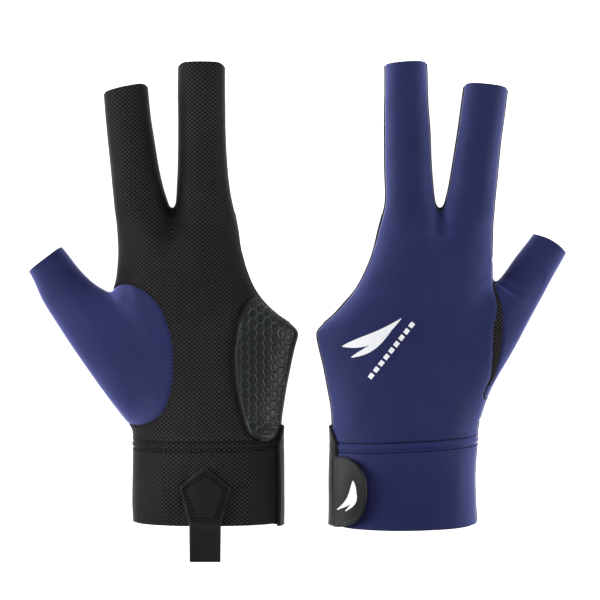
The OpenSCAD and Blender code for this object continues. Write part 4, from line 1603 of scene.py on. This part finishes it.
def trim_pieces(glove):
    """Pad, strap, patch, tab and prints."""
    n = glove.name
    hand = n + "hand"
    pad = finish_piece(grip_pad(glove), PAD, [n + "grip_pad", n + "pad_foam"], hand)
    patch = finish_piece(tab_patch(glove), LEATHER_STRAP, [n + "tab_patch"], hand)
    finish_piece(pull_tab(glove), LEATHER_STRAP, [n + "pull_tab"], n + "tab")
    flap, hook, loop, strip = strap(glove)
    bend = strap_bend(glove)
    finish_piece(flap, LEATHER_STRAP, [n + "strap_flap"], bend=bend)
    finish_piece(hook, HOOK, [n + "hook_patch"], bend=bend)
    finish_piece(loop, HOOK, [n + "loop_patch"], hand)
    finish_piece(strip, LEATHER_STRAP, [n + "strap_base"], hand)
    finish_piece(strap_mark(glove), PRINT, [n + "strap_print"], bend=bend)
    finish_piece(back_mark(glove), PRINT, [n + "back_print"], hand)
    for o in (patch, flap, strip):
        declare(o)


UNEVEN = uneven_group()
FLAT = flat_cloth_group()
GRAIN = grain_group()
KNIT = knit_group()
MESH = mesh_group()
KNIT_CLOTH = knit_material()
MESH_CLOTH = mesh_material()
PAD = pad_material()
LEATHER_STRAP = leather_material("grained strap leather", (0.0085, 0.0098, 0.0100, 1), 1300.0, 0.5, 0.00006)
TAPE = tape_material("woven tape", (0.006, 0.006, 0.007, 1), 0.7, 0.0001)
HOOK = tape_material("hook and loop tape", (0.010, 0.010, 0.011, 1), 0.5, 0.0003)
THREAD_NAVY = thread_material("navy thread", (0.003, 0.0035, 0.010, 1))
THREAD_BLACK = thread_material("black thread", (0.003, 0.003, 0.0035, 1))
THREAD_DARK = thread_material("dark thread", (0.0015, 0.0015, 0.0015, 1))
THREAD_GREY = thread_material("grey thread", (0.045, 0.047, 0.048, 1))
PRINT = print_material()

for g in (PALM_UP, BACK_UP):
    glove = Glove(g)
    glove.normals = vertex_normals(glove.points, glove.tris)
    glove.edges = seam_edges(glove)
    panels = cloth_pieces(glove)
    for panel in panels.values():
        declare(panel)
    band_pieces(glove)
    seam_threads(glove)
    trim_pieces(glove)
    trim_threads(glove)


# ---------------------------------------------------------------- camera, light and floor
def add_camera():
    data = bpy.data.cameras.new("camera")
    data.sensor_width = 36
    data.lens = 36 * (2.0 - 0.02) / 0.276
    data.clip_end = 20
    camera = bpy.data.objects.new("camera", data)
    camera.location = (0.00115, 0.00483, 2.0)
    bpy.context.scene.collection.objects.link(camera)
    bpy.context.scene.camera = camera


def add_light(name, place, target, size, energy):
    data = bpy.data.lights.new(name, "AREA")
    data.size = size
    data.energy = energy
    lamp = bpy.data.objects.new(name, data)
    lamp.location = place
    lamp.rotation_euler = (Vector(target) - Vector(place)).to_track_quat("-Z", "Y").to_euler()
    bpy.context.scene.collection.objects.link(lamp)


def add_world(strength):
    world = bpy.data.worlds.new("studio")
    world.use_nodes = True
    background = world.node_tree.nodes["Background"]
    background.inputs["Color"].default_value = (1, 1, 1, 1)
    background.inputs["Strength"].default_value = strength
    bpy.context.scene.world = world


def add_floor():
    m, w, node = new_material("white table")
    node.inputs["Base Color"].default_value = (0.9, 0.9, 0.9, 1)
    node.inputs["Roughness"].default_value = 0.9
    node.inputs["Emission Color"].default_value = (1, 1, 1, 1)
    node.inputs["Emission Strength"].default_value = 1.1
    bpy.ops.mesh.primitive_plane_add(size=6, location=(0, 0, -0.0002))
    table = bpy.context.object
    table.name = "table"
    table.data.materials.append(m)


add_camera()
add_light("left", (-1.0, 0.1, 0.36), (0, 0, 0.02), 0.5, 15)
add_light("right", (1.0, 0.1, 0.36), (0, 0, 0.02), 0.5, 9)
add_light("top", (0, 0.5, 1.6), (0, 0, 0.02), 1.2, 4)
add_world(0.28)
add_floor()
bpy.context.scene.view_settings.view_transform = "Standard"
